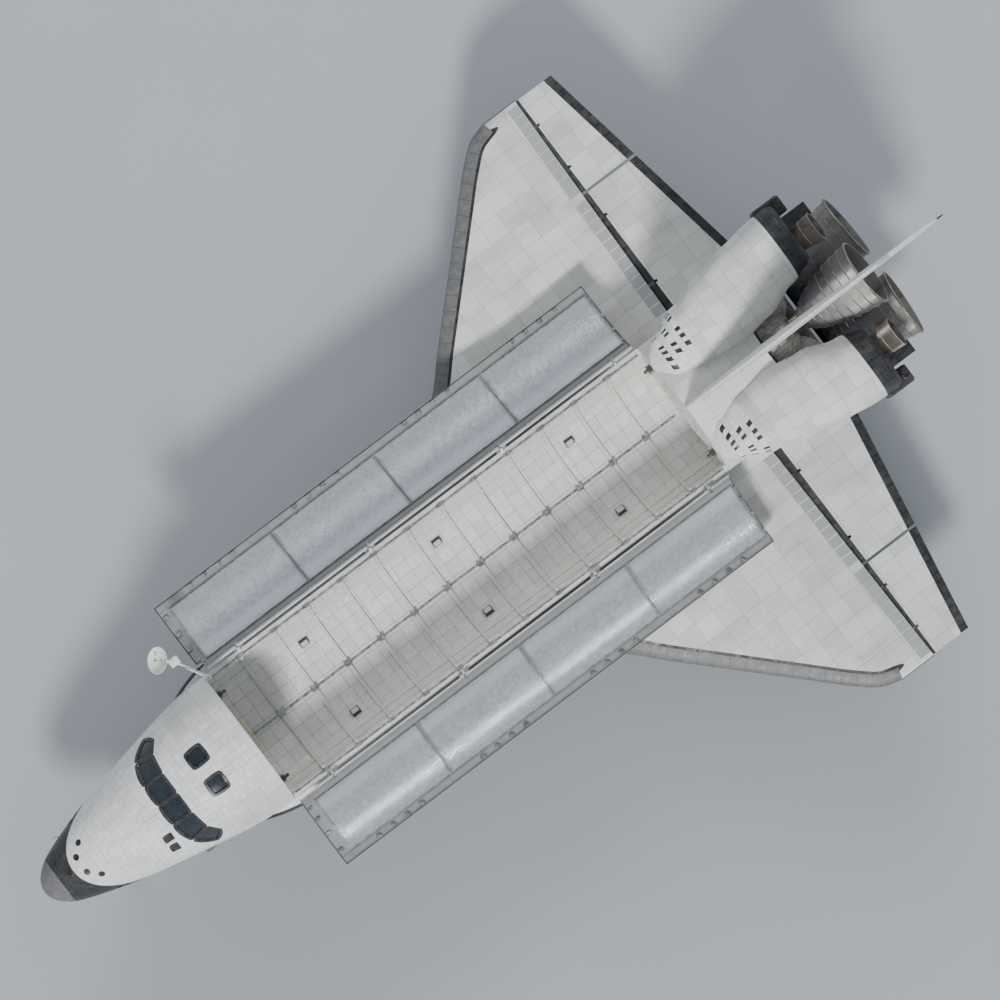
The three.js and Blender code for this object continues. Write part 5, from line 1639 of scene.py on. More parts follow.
DOOR_CENTRE = 395
DOOR_HINGE = np.array([0, 104.6, 417])
DOOR_OPEN = 175.5
DOOR_FROM = 582.5
DOOR_TO = 1301.5
# Columns: name, first station, last station, body without its side.
RADIATORS = [("front", 598.5, 941, "front_radiator_"), ("rear", 943, 1297.5, "door_")]
DOOR_LUGS = (640, 860, 1080, 1270)
# The first station of each gang of four latches, and the way from one latch to the next.
LATCH_GANGS = (640, 815, 1000, 1180)
LATCH_STEP = 24
# The antenna's notch in the starboard door, and how many degrees round the arc it reaches.
NOTCH = ((570, 80, 405), (591, 120, 440))
NOTCH_TOP = 26.3


def swung_open(points):
    """Points of the closed starboard door, turned about its hinge to where it stands."""
    return turned_about(points, DOOR_HINGE, (1, 0, 0), -DOOR_OPEN * DEG)


def opened(shape):
    """A shape drawn on the closed starboard door, swung open."""
    return swung_open(shape[0]), shape[1]


def on_arc(radius, degrees, station):
    """A point at a radius and an angle round the doors' arc."""
    angle = np.asarray(degrees, float) * DEG
    y, z = radius * np.cos(angle), DOOR_CENTRE + radius * np.sin(angle)
    return np.stack(np.broadcast_arrays(station, y, z), -1)


def arc_plate(outer, inner, start, end, low, high, rows=2):
    """A curved plate between two radii, two stations and two angles."""
    degrees = np.linspace(low, high, 4 + int((high - low) * 0.76))
    ring = np.concatenate([on_arc(outer, degrees, 0), on_arc(inner, degrees[::-1], 0)])
    at = np.linspace(start, end, rows)
    return grid(ring[None] + at[:, None, None] * (1, 0, 0))


def arc_tube(radius, low, high, station, thick):
    """A round seal or pipe along the doors' arc."""
    return tube(on_arc(radius, np.linspace(low, high, 48), station), thick, 8)


def door_seams():
    """The raised strips over the joints between the door's segments."""
    stations = np.linspace(DOOR_FROM, DOOR_TO, 6)[1:-1]
    return join(*[arc_plate(105.3, 104.6, x - 1.3, x + 1.3, 11.6, 89.4) for x in stations])


def door_ribs(notched):
    """Short ribs along the door's two long edges, and the stringers that they meet."""
    ribs = []
    for x in np.arange(DOOR_FROM + 14, DOOR_TO - 10, 28):
        for low, high in ((11.4, 21.8), (83.0, 88.8)):
            ribs.append(arc_plate(100.7, 99.5, x - 0.9, x + 0.9, low, high))
    for low in (13.0, 21.5, 83.4, 88.4):
        start = NOTCH[1][0] + 1 if notched and low < NOTCH_TOP else DOOR_FROM + 1.5
        ribs.append(arc_plate(100.7, 99.6, start, DOOR_TO - 1.5, low, low + 0.5))
    return join(*ribs)


def door_seals(notched):
    """Round seals along the door's ends and its upper edge."""
    front_low = NOTCH_TOP if notched else 11.6
    upper_edge = [on_arc(100.3, 89.4, x) for x in (DOOR_FROM + 0.5, 900, DOOR_TO - 0.5)]
    return join(
        arc_tube(100.3, front_low, 89.2, DOOR_FROM + 0.9, 0.6),
        arc_tube(100.3, 11.6, 89.2, DOOR_TO - 0.9, 0.6),
        tube(np.array(upper_edge), 0.55, 8),
    )


def door_latches():
    """Latches along the upper edge and both ends, and the knuckles of the hinges."""
    latches = []
    _, y, z = on_arc(99.2, 86.9, 0)
    for gang in LATCH_GANGS:
        for x in gang + LATCH_STEP * np.arange(4):
            latches.append(brick((x - 3, y - 2.4, z - 1.8), (x + 3, y + 2.6, z + 1.4), 0.5))
            latches.append(rod((x - 4.4, y - 2.2, z - 1.2), (x + 4.4, y - 2.2, z - 1.2), 0.9, 14))
    for low, high in ((DOOR_FROM + 2.2, DOOR_FROM + 9), (DOOR_TO - 3.4, DOOR_TO - 0.6)):
        for degrees in (28, 44, 61, 78):
            latches.append(arc_plate(100.6, 98.0, low, high, degrees - 1.6, degrees + 1.6))
    y, z = DOOR_HINGE[1:]
    for x in DOOR_LUGS:
        for near, far, radius in ((2.2, 8, 2.3), (-8, -2.2, 2.3), (-3, 3, 0.7)):
            latches.append(rod((x + near, y, z), (x + far, y, z), radius, 32))
    return join(*latches)


def radiator_shapes(start, end):
    """Two radiator panels end to end, with their edge rails and the pipes at their ends."""
    middle = (start + end) / 2
    plates, rails = [], []
    for a, b in ((start, middle - 1), (middle + 1, end)):
        plates.append(arc_plate(100.49, 98.7, a, b, 23, 82, 40))
        for x in (a + 0.1, b - 1.3):
            rails.append(arc_plate(99.6, 98.5, x, x + 1.2, 22.9, 82.1))
        for low in (22.6, 81.6):
            rails.append(arc_plate(99.6, 98.5, a, b, low, low + 0.8))
        for x in (a + 2.6, b - 2.6):
            rails.append(arc_tube(98.5, 24, 81, x, 0.42))
    return join(*plates), join(*rails)


def build_radiators():
    """The radiators in the open doors. The front ones can tilt, and the rear ones can't."""
    for where, start, end, body in RADIATORS:
        plates, rails = (opened(shape) for shape in radiator_shapes(start, end))
        for name, side in SIDES:
            key, shape = f"radiator_{where}_{name}", sided(plates, side)
            piece(key + "_fine", shape, radiator_film(), body + name, replaces=[key])
        pair(f"radiator_rails_{where}_", rails, metal("latch_metal"), "bare_metal", body, 35)


def door_layer(outer, inner, side):
    """A layer of the open door, notched for its hinges and, to starboard, the antenna's arm."""
    cuts = [brick((x - 2.2, 90, 412), (x + 2.2, 112, 419), 0.01) for x in DOOR_LUGS]
    if side > 0:
        cuts.append(brick(*NOTCH, 0.01))
    made = carve(arc_plate(outer, inner, DOOR_FROM, DOOR_TO, 11, 89.7, 60), cuts)
    points = swung_open(in_inches(read_all(made.data.vertices, "co"))) * (1, side, 1)
    made.data.vertices.foreach_set("co", place(points).astype(np.float32).ravel())
    if side < 0:
        made.data.flip_normals()
    return made


def build_doors():
    """Each door: outer skin, dark lining with ribs and seals, hinges and latches."""
    inside = door_inside()
    for name, side in SIDES:
        body, notched = "door_" + name, side > 0
        skin, lining = door_layer(105, 103, side), door_layer(102.98, 100.5, side)
        ribs, seals = (sided(opened(draw(notched)), side) for draw in (door_ribs, door_seals))
        replaced = ["payload_door_" + name]
        piece("door_skin_" + name, skin, door_outside(), body, replaces=replaced)
        piece("door_lining_" + name, lining, inside, body)
        piece("door_ribs_" + name, ribs, inside, body, 35)
        piece("door_seals_" + name, seals, rubber(), body, 35)
    pair("door_seams_", opened(door_seams()), frame_tiles(), "tile_black", "door_", 35)
    pair("door_latches_", opened(door_latches()), metal("latch_metal"), "bare_metal", "door_", 35)


# Payload bay

BAY_FRAMES = np.linspace(636, 1250, 12)
BAY_FRONT = 580
BAY_BACK = 1306
BAY_MIDDLE = 400
SILL = 412
# Columns: angle round the bay from the starboard sill down, width of each wire tray.
WIRE_TRAYS = ((22, 14), (34, 9), (146, 9), (158, 14))
LAMP_ANGLES = (50, 130)
# Columns: distance out, lowest and highest waterline of the upright handrails.
HANDRAILS = ((34, 396, 446), (-34, 396, 446), (62, 340, 392), (-62, 340, 392))
# Half width and waterline of the rail over the rear windows.
TOP_RAIL = (24, 478)
# Columns: a camera's station, and the way that it looks along X.
CAMERAS = ((583.5, 1), (1302.5, -1))
CAMERA_SIDE = 70
HATCHWAY_BOLTS = 24


def bay_section(radius, lift=0.0):
    """Half a circle below the bay's middle line, with upright ends up to the sills."""
    angle = np.linspace(0, 180, 61) * DEG
    arc = np.stack([radius * np.cos(angle), BAY_MIDDLE - radius * np.sin(angle)], 1)
    top = SILL - 0.6 + lift
    return np.vstack([[radius, top], arc, [-radius, top]])


def bay_strip(outer, inner, start, end, lift=0.0):
    """A shell between two such sections and two stations."""
    ring = np.vstack([bay_section(outer, lift), bay_section(inner, lift)[::-1]])
    flat = np.insert(ring, 0, 0, axis=1)
    return prism(flat, (start, 0, 0), (end, 0, 0))


def wall_block(start, end, degrees, width, inner, outer):
    """A block on the bay's round wall, at an angle down from the starboard sill."""
    half = width / 2
    c, s = math.cos(degrees * DEG), math.sin(degrees * DEG)
    out, side, middle = np.array([0, c, -s]), np.array([0, s, c]), np.array([0, 0, BAY_MIDDLE])
    corners = ((inner, -half), (inner, half), (outer, half), (outer, -half))
    outline = [middle + out * r + side * w for r, w in corners]
    return prism(outline, (start, 0, 0), (end, 0, 0))


def build_bay_lining():
    """The bay's liner, and frames under it with metal edges."""
    piece("bay_liner", bay_strip(92.9, 92.0, 580.2, 1305.9), liner(), smooth=25)
    frames, edges = [], []
    for x in BAY_FRAMES:
        frames.append(bay_strip(92.3, 89.4, x - 2.2, x + 2.2))
        edges += [bay_strip(89.9, 89.0, at - 0.35, at + 0.35, 0.3) for at in (x - 2, x + 2)]
    piece("bay_frames", join(*frames), liner_frame(), smooth=25)
    piece("bay_frame_edges", join(*edges), painted("bay_alloy"), smooth=25)


def build_bay_trays():
    """Wire trays between the frames, on both sides of the bay."""
    trays = []
    starts = np.r_[584, BAY_FRAMES + 2.6]
    ends = np.r_[BAY_FRAMES - 2.6, 1302]
    for degrees, width in WIRE_TRAYS:
        trays += [wall_block(start, end, degrees, width, 90.6, 92.4) for start, end in zip(starts, ends)]
    piece("bay_trays", join(*trays), painted("bay_alloy"), smooth=30)


def build_bay_bridges():
    """Fittings that hold a payload: on the keel, on the sills, and the rails between them."""
    keel = [brick((586, -1.6, 307), (1300, 1.6, 309.2), 0.4)]
    sill = [brick((584, 93.4, 411.4), (1302, 96.6, 412.5), 0.3)]
    for x in BAY_FRAMES:
        keel.append(brick((x - 5, -4.5, 306.9), (x + 5, 4.5, 312), 0.6))
        sill.append(brick((x - 6, 92.6, 406.5), (x + 6, 97.4, 413.6), 0.6))
        sill.append(brick((x + 22, 93.4, 409), (x + 27, 96.6, 413.2), 0.5))
    piece("bay_bridges", join(*keel, both(*sill)), metal("fitting_metal"), smooth=30)


def build_bay_lights():
    """Six flood lights low on the bay's walls."""
    lights, lenses = [], []
    for x in BAY_FRAMES[1::4]:
        for degrees in LAMP_ANGLES:
            lights.append(wall_block(x + 18, x + 31, degrees, 11, 87.2, 92.3))
            lenses.append(wall_block(x + 19.4, x + 29.6, degrees, 8, 86.6, 87.6))
    piece("bay_lights", join(*lights), painted("camera_paint"), smooth=30)
    piece("bay_lenses", join(*lenses), lamp_glass(), smooth=30)


def build_bay_rails():
    """Yellow handrails on both end walls, and one over the rear windows."""
    rails = []
    for y, low, high in HANDRAILS:
        for foot, out in ((BAY_FRONT + 0.4, 4.2), (BAY_BACK - 0.2, -4.2)):
            path = [(foot, y, low), (foot + out, y, low + 2), (foot + out, y, high - 2), (foot, y, high)]
            rails.append(tube(curve(path, 40), 0.75))
    half, z = TOP_RAIL
    foot = BAY_FRONT + 0.4
    path = [(foot, -half, z), (foot + 4.2, 2 - half, z), (foot + 4.2, half - 2, z), (foot, half, z)]
    rails.append(tube(curve(path, 40), 0.75))
    piece("bay_rails", join(*rails), painted("rail_paint"), smooth=50)


def rear_window_frame():
    """The metal frame round a rear window."""
    half = REAR_WINDOW_HALF + 1.1
    y, z = REAR_WINDOW_SIDE, REAR_WINDOW_HEIGHT
    corners = [[580.2, y + a * half, z + b * half] for a, b in ((-1, -1), (1, -1), (1, 1), (-1, 1))]
    section = ((-1, 0), (-1, 0.9), (1.6, 0.9), (1.6, 0))
    rows = [widened(rounded(corners), out) + (lift, 0, 0) for out, lift in section]
    return grid(np.stack(rows), loop=True)


def build_bay_ends():
    """Cameras on brackets on both end walls, the hatchway's rings, and the rear windows' frames."""
    cameras, feet, holders = [], [rear_window_frame()], []
    y = CAMERA_SIDE
    for x, way in CAMERAS:
        cameras.append(brick((x - 3, y - 3.5, 424), (x + 3, y + 3.5, 431), 0.6))
        cameras.append(rod((x, y, 427), (x + way * 9, y, 424), 2.3))
        feet.append(rod((x, y, 416), (x, y, 424), 1.6))
        feet.append(brick((x - 3.4, y - 6, SILL), (x + 3.2, y + 6, 416.4), 0.5))
    for radius, thick in ((21.4, 1.3), (25.5, 0.5)):
        holders.append(hoop((580.2, 0, HATCHWAY_HEIGHT), (1, 0, 0), radius, thick, 72))
    for c, s in zip(*spin(HATCHWAY_BOLTS)):
        y, z = 23.6 * c, HATCHWAY_HEIGHT + 23.6 * s
        holders.append(rod((BAY_FRONT, y, z), (BAY_FRONT + 1.2, y, z), 0.55, 8))
    piece("bay_holders", join(*holders, both(*feet)), metal("fitting_metal"), smooth=35)
    piece("bay_cameras", both(*cameras), painted("camera_paint"), smooth=35)


# Small fittings on the skin

# Columns: station, angle round the body from starboard up, radius.
NOSE_PORTS = [(300, 76, 3.6), (314, 62, 3.6), (322, 8, 4.2), (334, 8, 4.2), (346, -2, 4.0), (332, -20, 4.0)]
# Columns: direction that the openings face, their radius, and their middles.
POD_PORTS = [
    ((1, 0, 0), 4.4, [(1573, 134, 456), (1573, 147, 456), (1573, 134, 486)]),
    ((1, 0, 0), 2.2, [(1573, 147, 486)]),
    ((0, 1, 0), 4.2, [(1540, 154, 470), (1553, 154, 470), (1566, 154, 470), (1553, 154, 486)]),
    ((0, 0, 1), 4.2, [(1540, 141, 496), (1553, 141, 496), (1566, 141, 496)]),
    ((0, 0, -1), 4.2, [(1545, 141, 446), (1559, 141, 446)]),
]
# Columns: first station, waterline, height of each vent door.
VENT_DOORS = [
    (606, 398, 9), (694, 398, 9), (808, 398, 9), (958, 398, 9), (1112, 398, 9),
    (1316, 340, 16), (1354, 340, 16),
]
VENT_LENGTH = 24


def port_ring(centre, normal, r):
    """The raised ring of a thruster's opening."""
    ring = [(-0.6, r), (0.32, r), (0.32, r + 0.5), (0.0, r + 1.1), (-0.6, r + 1.1)]
    return revolve(ring, centre, normal, 40, loop=True)


def port_cup(centre, normal, r):
    """The dark cup in a thruster's opening."""
    cup = [(0.12, r + 0.02), (0.12, r - 0.25), (-0.2, r * 0.72), (-0.2, 0.1), (-0.6, 0.1), (-0.6, r)]
    return revolve(cup, centre, normal, 40)


def nose_ports():
    """Places, directions and sizes of the nose's thruster openings, to starboard."""
    ports = []
    for x, degrees, radius in NOSE_PORTS:
        heart = np.array([x, 0, 345.0])
        ray = np.array([0, math.cos(degrees * DEG), math.sin(degrees * DEG)])
        aim = heart + 50 * ray
        centre = on_skin(aim, heart)
        along = on_skin(aim + (1.0, 0, 0), heart + (1.0, 0, 0))
        beside = on_skin(aim + (0, 0, 1.0), heart)
        normal = np.cross(along - centre, beside - centre)
        ports.append((centre, normal * np.sign(normal @ ray), radius))
    ports.append((on_skin(np.array([292, 1e-3, 380.0]), NOSE_HEART), np.array([-0.35, 0, 0.94]), 3.6))
    return ports


def build_thruster_ports():
    """Thruster openings on the nose and the pods."""
    ports = nose_ports()
    for normal, radius, centres in POD_PORTS:
        ports += [(centre, normal, radius) for centre in centres]
    rings, cups = (both(*[shape(*port) for port in ports]) for shape in (port_ring, port_cup))
    piece("port_rings", rings, frame_tiles(), smooth=35)
    piece("port_cups", cups, metal("port_metal", rough=(0.4, 0.6)), smooth=35)


def build_skin_doors():
    """Vent doors in their gaps, and the two doors over the tank's pipes, in the belly."""
    doors, gaps = [], []
    for start, z, height in VENT_DOORS:
        end, low, high = start + VENT_LENGTH, z - height / 2, z + height / 2
        gaps.append(brick((start, 101.4, low), (end, 102.12, high), 0.02))
        doors.append(brick((start + 0.5, 101.5, low + 0.5), (end - 0.5, 102.3, high - 0.5), 0.1))
    hatch = brick((1290, 28, 271.7), (1338, 74, 272.4), 0.2)
    seam = brick((1313.6, 26.8, 271.9), (1314.4, 75.2, 272.5), 0.1)
    piece("vent_gaps", both(*gaps), frame_tiles(), smooth=30)
    piece("vent_doors", both(*doors), vent_tiles(), smooth=30)
    piece("umbilical_doors", both(hatch, seam), black_skin(), smooth=30)


def build_air_probes():
    """The nose's two air data probes."""
    foot = on_skin(np.array([300, 40, 322.0]), np.array([300, 0, 340.0]))
    tip = foot + (-5, 4.5, -1.5)
    arm = rod(foot - (0, 2, -0.5), tip, 0.9)
    needle = rod(tip + (1, 0, 0), tip + (-7, 0, 0), 0.7, 16, 0.3)
    piece("air_probes", both(arm, needle), metal("probe_metal"), smooth=35)


# Landing gear

AXLE_MAIN = np.array([1172, 136, 161.25])
AXLE_NOSE = np.array([377, 0, 155.0])
# Columns: radius, width, rim's radius, and the grooves' places as shares of half the width.
TYRE_MAIN = (22.25, 15.5, 10.5, (-0.42, -0.14, 0.14, 0.42))
TYRE_NOSE = (16, 8.8, 8, (-0.3, 0, 0.3))
TREAD_POWER = 2.6
# Columns: height above the barrel's lower end, share of its radius.
COLLARS = np.array([
    (0, 0.86), (1, 1), (5, 1), (5.4, 1.1), (9, 1.1), (9.4, 1), (24, 1), (24.4, 1.07), (28, 1.07), (28.4, 1),
])
# Columns: distance aft and distance out from the leg, waterline of each point of a hose.
HOSE_MAIN = np.array([(-5, 3, 290), (-6.6, 3, 250), (-6.8, 3.4, 215), (-7, 6, 190), (-3, 9.6, 166)])
HOSE_NOSE = np.array([(-4, 2, 300), (-5.6, 2, 260), (-5.6, 2, 232), (-5.2, 3.4, 214)])


def tyre_shape(centre, radius, width, rim, grooves):
    """A tyre: a rounded tread with grooves cut round it, and curved sidewalls down to the rim."""
    half = width / 2
    widest = rim + 0.4 * (radius - rim)
    along = half * np.sin(np.linspace(-0.5, 0.5, 87) * math.pi)
    share = (1 - np.abs(along / half) ** TREAD_POWER) ** (1 / TREAD_POWER)
    crown = widest + (radius - widest) * share
    for groove in grooves:
        crown -= 0.34 * (np.abs(along - groove * half) < 0.032 * width)
    low = np.linspace(0, 1, 10)[1:]
    wall = np.stack([half * (1 - 0.16 * low**2), widest - (widest - rim) * low], 1)
    inside = [(half * 0.5, rim), (-half * 0.5, rim)]
    profile = np.vstack([wall[::-1] * (-1, 1), np.stack([along, crown], 1), wall, inside])
    return revolve(profile, centre, (0, 1, 0), 96, loop=True)


def hub_shape(centre, offset, width, rim, axle):
    """A pair of wheels on their axle, with rim lips, dished faces and bolts."""
    near, far = offset - 0.42 * width, offset + 0.42 * width
    # Columns: distance along the axle from its middle, radius.
    half = np.array([
        (0, axle), (near + 1.6, axle), (near + 1, rim * 0.5), (near, rim * 0.86), (near - 0.3, rim * 0.95),
        (near, rim), (far, rim), (far + 0.25, rim * 0.97), (far, rim * 0.9), (far - 2.2, rim * 0.82),
        (far - 3.4, rim * 0.7), (far - 3, rim * 0.5), (far - 1.6, rim * 0.42), (far - 1.4, axle * 0.8),
        (far - 1.2, axle * 0.6), (far - 1.2, 0.05),
    ])
    shapes = [revolve(np.vstack([(half * (-1, 1))[::-1], half[1:]]), centre, (0, 1, 0), 96)]
    for side in (1, -1):
        for c, s in zip(*spin(12)):
            foot = centre + (0.6 * rim * c, side * (far - 3.4), 0.6 * rim * s)
            shapes.append(rod(foot, foot + (0, side, 0), 0.055 * rim, 6))
    return join(*shapes)


def leg_parts(axle, top, split, barrel, piston, half, radius):
    """A leg's barrel with its collars, its bright piston, and the eye round the axle."""
    height = top - split
    collars = COLLARS[COLLARS[:, 0] < height - 1] * (1, barrel)
    profile = np.vstack([[0, barrel * 0.5], collars, [height, barrel], [height, 0.1]])
    eye = [(-half, radius * 0.84), (0.7 - half, radius), (half - 0.7, radius), (half, radius * 0.84)]
    return (
        revolve(profile, (*axle[:2], split), (0, 0, 1), 64),
        revolve([(0, piston), (split - axle[2] + 2, piston)], axle, (0, 0, 1), 48),
        revolve(eye, axle, (0, 1, 0), 64),
    )


def scissor(x, y, high, low, reach, width):
    """Two pairs of tapering links that fold behind a leg, with their pins."""
    middle, knee = (high + low) / 2, x + reach

    def pin(at, half, z, radius, sides):
        return rod((at, y - half, z), (at, y + half, z), radius, sides)

    shapes = [pin(knee, width, middle, 1.1, 24)]
    for z in (high, low):
        shapes.append(pin(x + 3, width * 1.3, z, 1.2, 24))
        shapes.append(pin(x + (3 + reach) / 2, width * 0.8, (z + middle) / 2, 0.6, 12))
        for out in (width, -width):
            shapes.append(rod((x + 3, y + out, z), (knee, y + out * 0.55, middle), 1.0, 16, 0.8))
    return join(*shapes)


def hoses(route, axle):
    """A pair of hoses down a leg, one on each side of it."""
    foot = axle * (1, 1, 0)
    return join(*[tube(curve(route * (1, way, 1) + foot, 48), 0.45, 10) for way in (1, -1)])


def brake_discs():
    """The main wheels' stacks of discs, inside their hubs."""
    discs = []
    for way in (1, -1):
        for k in range(4):
            near = AXLE_MAIN + (0, way * (8.15 + 0.66 * k), 0)
            discs.append(rod(near, near + (0, way * 0.5, 0), 8.2 - 0.3 * (k % 2), 48))
    return join(*discs)


def main_leg(barrel, eye):
    """A main leg's fixed parts: barrel, eye, brace with its foot and pins, and links."""
    x, y, _ = AXLE_MAIN
    parts = [
        barrel, eye, scissor(x + 2, y, 222, 172, 14, 3.4),
        rod((x, y, 228), (x - 78, y, 295), 2.6, 32),
        rod((x, y - 7.4, 228), (x, y + 7.4, 228), 2.2),
        rod((x - 40, y - 5, 262.4), (x - 40, y + 5, 262.4), 1.5),
        brick((x - 84, y - 8, 290), (x - 72, y + 8, 297.9), 0.8),
    ]
    for out in (y + 3.2, y - 3.2):
        parts.append(rod((x - 4, out, 229), (x - 40, out, 262.4), 1.3))
    return join(*parts)


def nose_leg(barrel):
    """The nose leg's fixed parts: barrel, brace with its foot and pins, and steering motors."""
    x = AXLE_NOSE[0]
    return join(
        barrel,
        rod((x, 0, 222), (x - 38, 0, 315), 2.2, 32),
        rod((x, -6, 222), (x, 6, 222), 1.9),
        rod((x - 38, -11, 314), (x - 38, 11, 314), 1.6),
        brick((x - 44, -12, 311), (x - 32, 12, 317.9), 0.7),
        both(rod((x - 2, 4.6, 226), (x - 30, 9, 311), 0.9)),
        both(rod((x + 2, 6, 209.5), (x - 7, 6, 209.5), 1.7, 24)),
    )


def build_main_gear():
    """Both main gears: leg, piston, hoses, brakes, the door's inner ribs, wheels and tyres."""
    barrel, slider, eye = leg_parts(AXLE_MAIN, 297.9, 212, 6, 4, 8, 6)
    ribs = [brick((x, 164.9, 224), (x + 1.4, 166.2, 271), 0.2) for x in np.arange(1056, 1198, 14)]
    ribs += [brick((1053, 165.1, z), (1197, 166.2, z + 1.4), 0.2) for z in (226, 248, 269)]
    hubs = hub_shape(AXLE_MAIN, 17.5, 15.5, 10.5, 3.3)
    chrome, wheels = metal("piston_chrome", rough=(0.10, 0.2)), "main_wheels_"
    leg = main_leg(barrel, eye)
    pair("main_barrel_", leg, painted("leg_paint"), "gear_paint", smooth=35, replaces="main_leg_")
    pair("main_piston_", slider, chrome, "bare_metal", smooth=35)
    pair("main_hoses_", hoses(HOSE_MAIN, AXLE_MAIN), hose_rubber(), "tyre_rubber", smooth=35)
    pair("main_brakes_", brake_discs(), metal("brake_metal"), "bare_metal", smooth=35)
    pair("main_door_ribs_", join(*ribs), well_paint(), "gear_paint", smooth=35)
    pair("main_wheel_pair_", hubs, metal("wheel_alloy"), "bare_metal", wheels, 35, "main_hubs_")
    for where, out in (("inner_", -17.5), ("outer_", 17.5)):
        shape = tyre_shape(AXLE_MAIN + (0, out, 0), *TYRE_MAIN)
        name, replaced = "main_tyre_fine_" + where, "main_tyre_" + where
        pair(name, shape, rubber(), "tyre_rubber", wheels, 35, replaced)


def build_nose_gear():
    """The nose gear: fixed leg, steered fork with its links, hoses, door ribs, wheels and tyres."""
    x = AXLE_NOSE[0]
    paint, chrome = painted("leg_paint"), metal("piston_chrome", rough=(0.10, 0.2))
    barrel, slider, eye = leg_parts(AXLE_NOSE, 317.9, 206.2, 5, 3.2, 4.6, 4)
    collar = revolve([(0, 4.4), (0.5, 5.6), (6.4, 5.6), (6.9, 5)], (x, 0, 199), (0, 0, 1), 64)
    steered = join(eye, collar, scissor(x + 1, 0, 202, 163, 10, 2.4))
    hubs = hub_shape(AXLE_NOSE, 10, 8.8, 8, 1.85)
    ribs = [brick((at, 21, 268), (at + 1.2, 22.1, 284), 0.15) for at in np.arange(336, 426, 12)]
    ribs.append(brick((333, 21.2, 268), (425, 22.1, 269.2), 0.15))
    lines, steering, wheels = hoses(HOSE_NOSE, AXLE_NOSE), "nose_steering", "nose_wheels"
    piece("nose_barrel", nose_leg(barrel), paint, smooth=35, replaces=["nose_leg"])
    piece("nose_hoses", lines, hose_rubber(), smooth=35)
    piece("nose_door_ribs", both(*ribs), well_paint(), smooth=35)
    piece("nose_steering_fine", steered, paint, steering, 35, ["nose_steering"])
    piece("nose_piston", slider, chrome, steering, 35)
    piece("nose_wheel_pair", hubs, metal("wheel_alloy"), wheels, 35, ["nose_hubs"])
    tyre = tyre_shape(AXLE_NOSE + (0, 10, 0), *TYRE_NOSE)
    pair("nose_tyre_fine_", tyre, rubber(), "tyre_rubber", wheels, 35, "nose_tyre_")


# Dish antenna, swung out

ANTENNA_POST = np.array([586, 96, 431.0])
ANTENNA_END = np.array([561, 141, 431.0])
DISH_HEAD = np.array([551, 150, 446.0])
DISH_AIM, DISH_FIRST, DISH_SECOND = across((-0.55, 0.45, 0.7))
DISH_RADIUS = 18


def antenna_boom():
    """Post with its foot, boom with three bands, and the gimbal's box."""
    x, y, z = ANTENNA_POST
    reach = ANTENNA_END - ANTENNA_POST
    parts = [
        rod((x, y, 412.02), (x, y, z + 2.2), 2.0, 32),
        revolve([(0, 3.2), (1.2, 3.2), (1.8, 2.2)], (x, y, 412.1), (0, 0, 1), 40),
        rod(ANTENNA_POST, ANTENNA_END, 1.9, 32),
        brick((554, 135, z - 3), (568, 147, z + 12.6), 1.0),
    ]
    band = [(-0.8, 1.9), (-0.8, 2.35), (0.8, 2.35), (0.8, 1.9)]
    parts += [revolve(band, ANTENNA_POST + reach * share, reach, 40) for share in (0.12, 0.5, 0.88)]
    return join(*parts)


def antenna_bowl():
    """The dish with its rim, hub and stalk, and three struts that hold the feed."""
    radius = np.linspace(0.2, DISH_RADIUS, 22)
    bowl = 4.2 + 9.0 * (radius / DISH_RADIUS) ** 2
    wall = np.vstack([np.stack([bowl, radius], 1), np.stack([bowl - 0.5, radius], 1)[::-1]])
    hub = [(-0.5, 0.3), (-0.5, 3.2), (3.4, 3.2), (4.4, 5.4), (4.4, 0.3)]
    parts = [
        revolve(wall, DISH_HEAD, DISH_AIM, 96),
        hoop(DISH_HEAD + DISH_AIM * 12.95, DISH_AIM, DISH_RADIUS, 0.45, 96, 8),
        revolve(hub, DISH_HEAD, DISH_AIM, 40),
        rod(ANTENNA_END + (0, 0, 11), DISH_HEAD + DISH_AIM * 0.5, 2.2, 32),
    ]
    for c, s in zip(*spin(3)):
        spoke = c * DISH_FIRST + s * DISH_SECOND
        foot, tip = DISH_AIM * 8.3 + spoke * 12, DISH_AIM * 16.5 + spoke * 1.2
        parts.append(rod(DISH_HEAD + foot, DISH_HEAD + tip, 0.35, 10))
    return join(*parts)


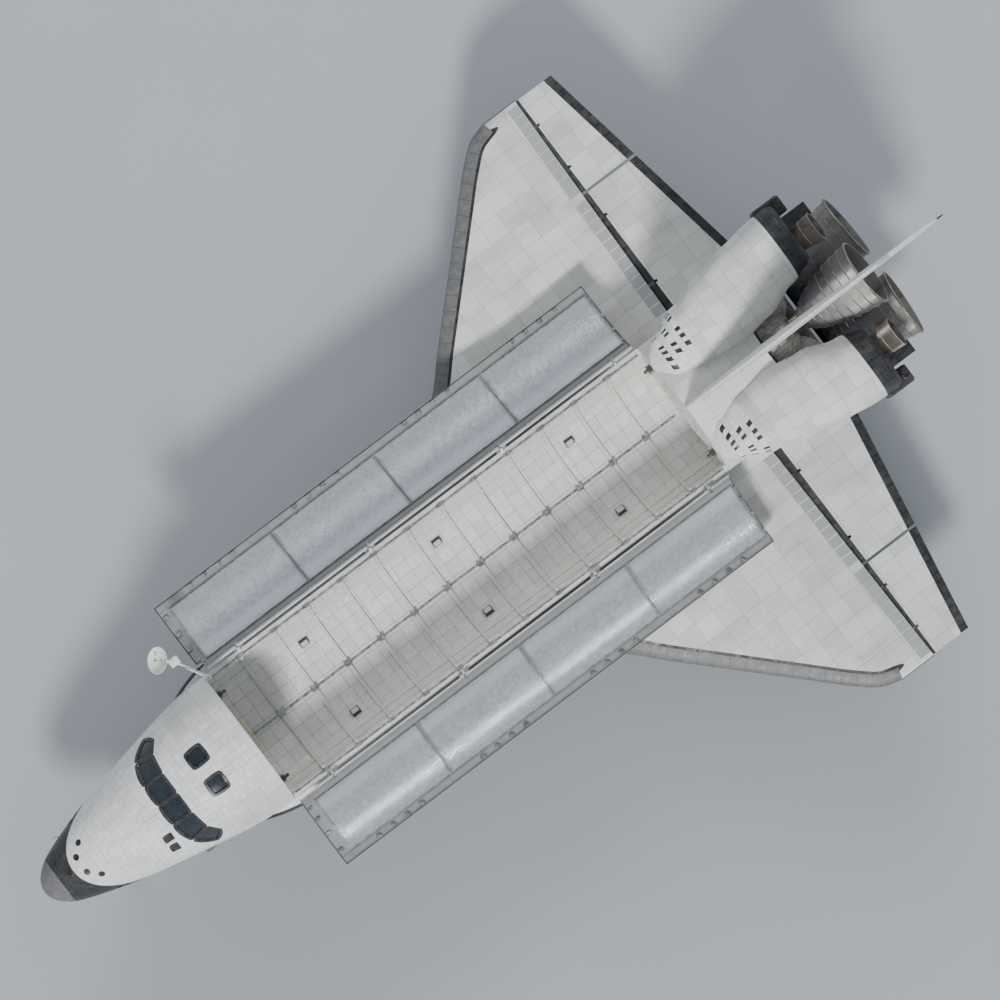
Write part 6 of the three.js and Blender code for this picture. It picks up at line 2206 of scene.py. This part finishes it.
def build_antenna():
    """The dish antenna: its boom with a cable, its bowl, and its gold feed."""
    white = painted("antenna_paint")
    piece("antenna_boom", antenna_boom(), white, "antenna", 35, ["antenna_arm"])
    piece("antenna_bowl", antenna_bowl(), white, "antenna", 35, ["antenna_dish"])
    horn = [(0, 1), (0.6, 1.9), (2.4, 1.9), (3, 1.2)]
    feed = join(
        revolve(horn, DISH_HEAD + DISH_AIM * 15.4, DISH_AIM, 32),
        rod(DISH_HEAD + DISH_AIM * 4.3, DISH_HEAD + DISH_AIM * 8, 1.0, 20),
    )
    gold = metal("foil", rough=(0.2, 0.34), lumps=40.0)
    piece("antenna_feed", feed, gold, "antenna", 35)
    middle = (ANTENNA_POST + ANTENNA_END) / 2
    path = [ANTENNA_POST + (0, 0, 2.6), middle + (0, 0, 2.3), ANTENNA_END + (0, -7, 2.6)]
    piece("antenna_cable", tube(curve(path, 30), 0.4, 8), hose_rubber(), "antenna", 50)


# The scene


def dress_cad_pieces():
    """Finishes for the CAD pieces that keep their own shapes."""
    elevons = [f"elevon_{where}_{name}" for where in ("inner", "outer") for name, _ in SIDES]
    doors = [f"{gear}_gear_door_{name}" for gear in ("main", "nose") for name, _ in SIDES]
    # Columns: finish, nodes.
    for look, nodes in (
        (side_skin(), ["mid_fuselage"]),
        (cabin_paint(), ["flight_deck"]),
        (fin_skin(), ["fin", "rudder_panel_left", "rudder_panel_right"]),
        (metal("shaft_metal"), ["rudder_shaft"]),
        (flap_skin(), elevons),
        (black_skin(), ["body_flap", *doors]),
    ):
        for node in nodes:
            dress(node, look)


def build_floor():
    """The grey floor. It is staging, and no part of the vehicle."""
    low, high = (-FLOOR_HALF, -FLOOR_HALF, 138), (FLOOR_HALF, FLOOR_HALF, 138.99)
    floor = mesh_object("floor", brick(low, high, 0.001))
    floor.data.materials.append(floor_paint())


make_camera()
make_lights()
build_forward_body()
build_windows()
build_hatch()
build_hatch_hinge()
build_wings()
build_flipper_plates()
build_aft_body()
build_engines()
build_pods()
build_doors()
build_radiators()
build_bay_lining()
build_bay_trays()
build_bay_bridges()
build_bay_lights()
build_bay_rails()
build_bay_ends()
build_thruster_ports()
build_skin_doors()
build_air_probes()
build_main_gear()
build_nose_gear()
build_antenna()
dress_cad_pieces()
build_floor()
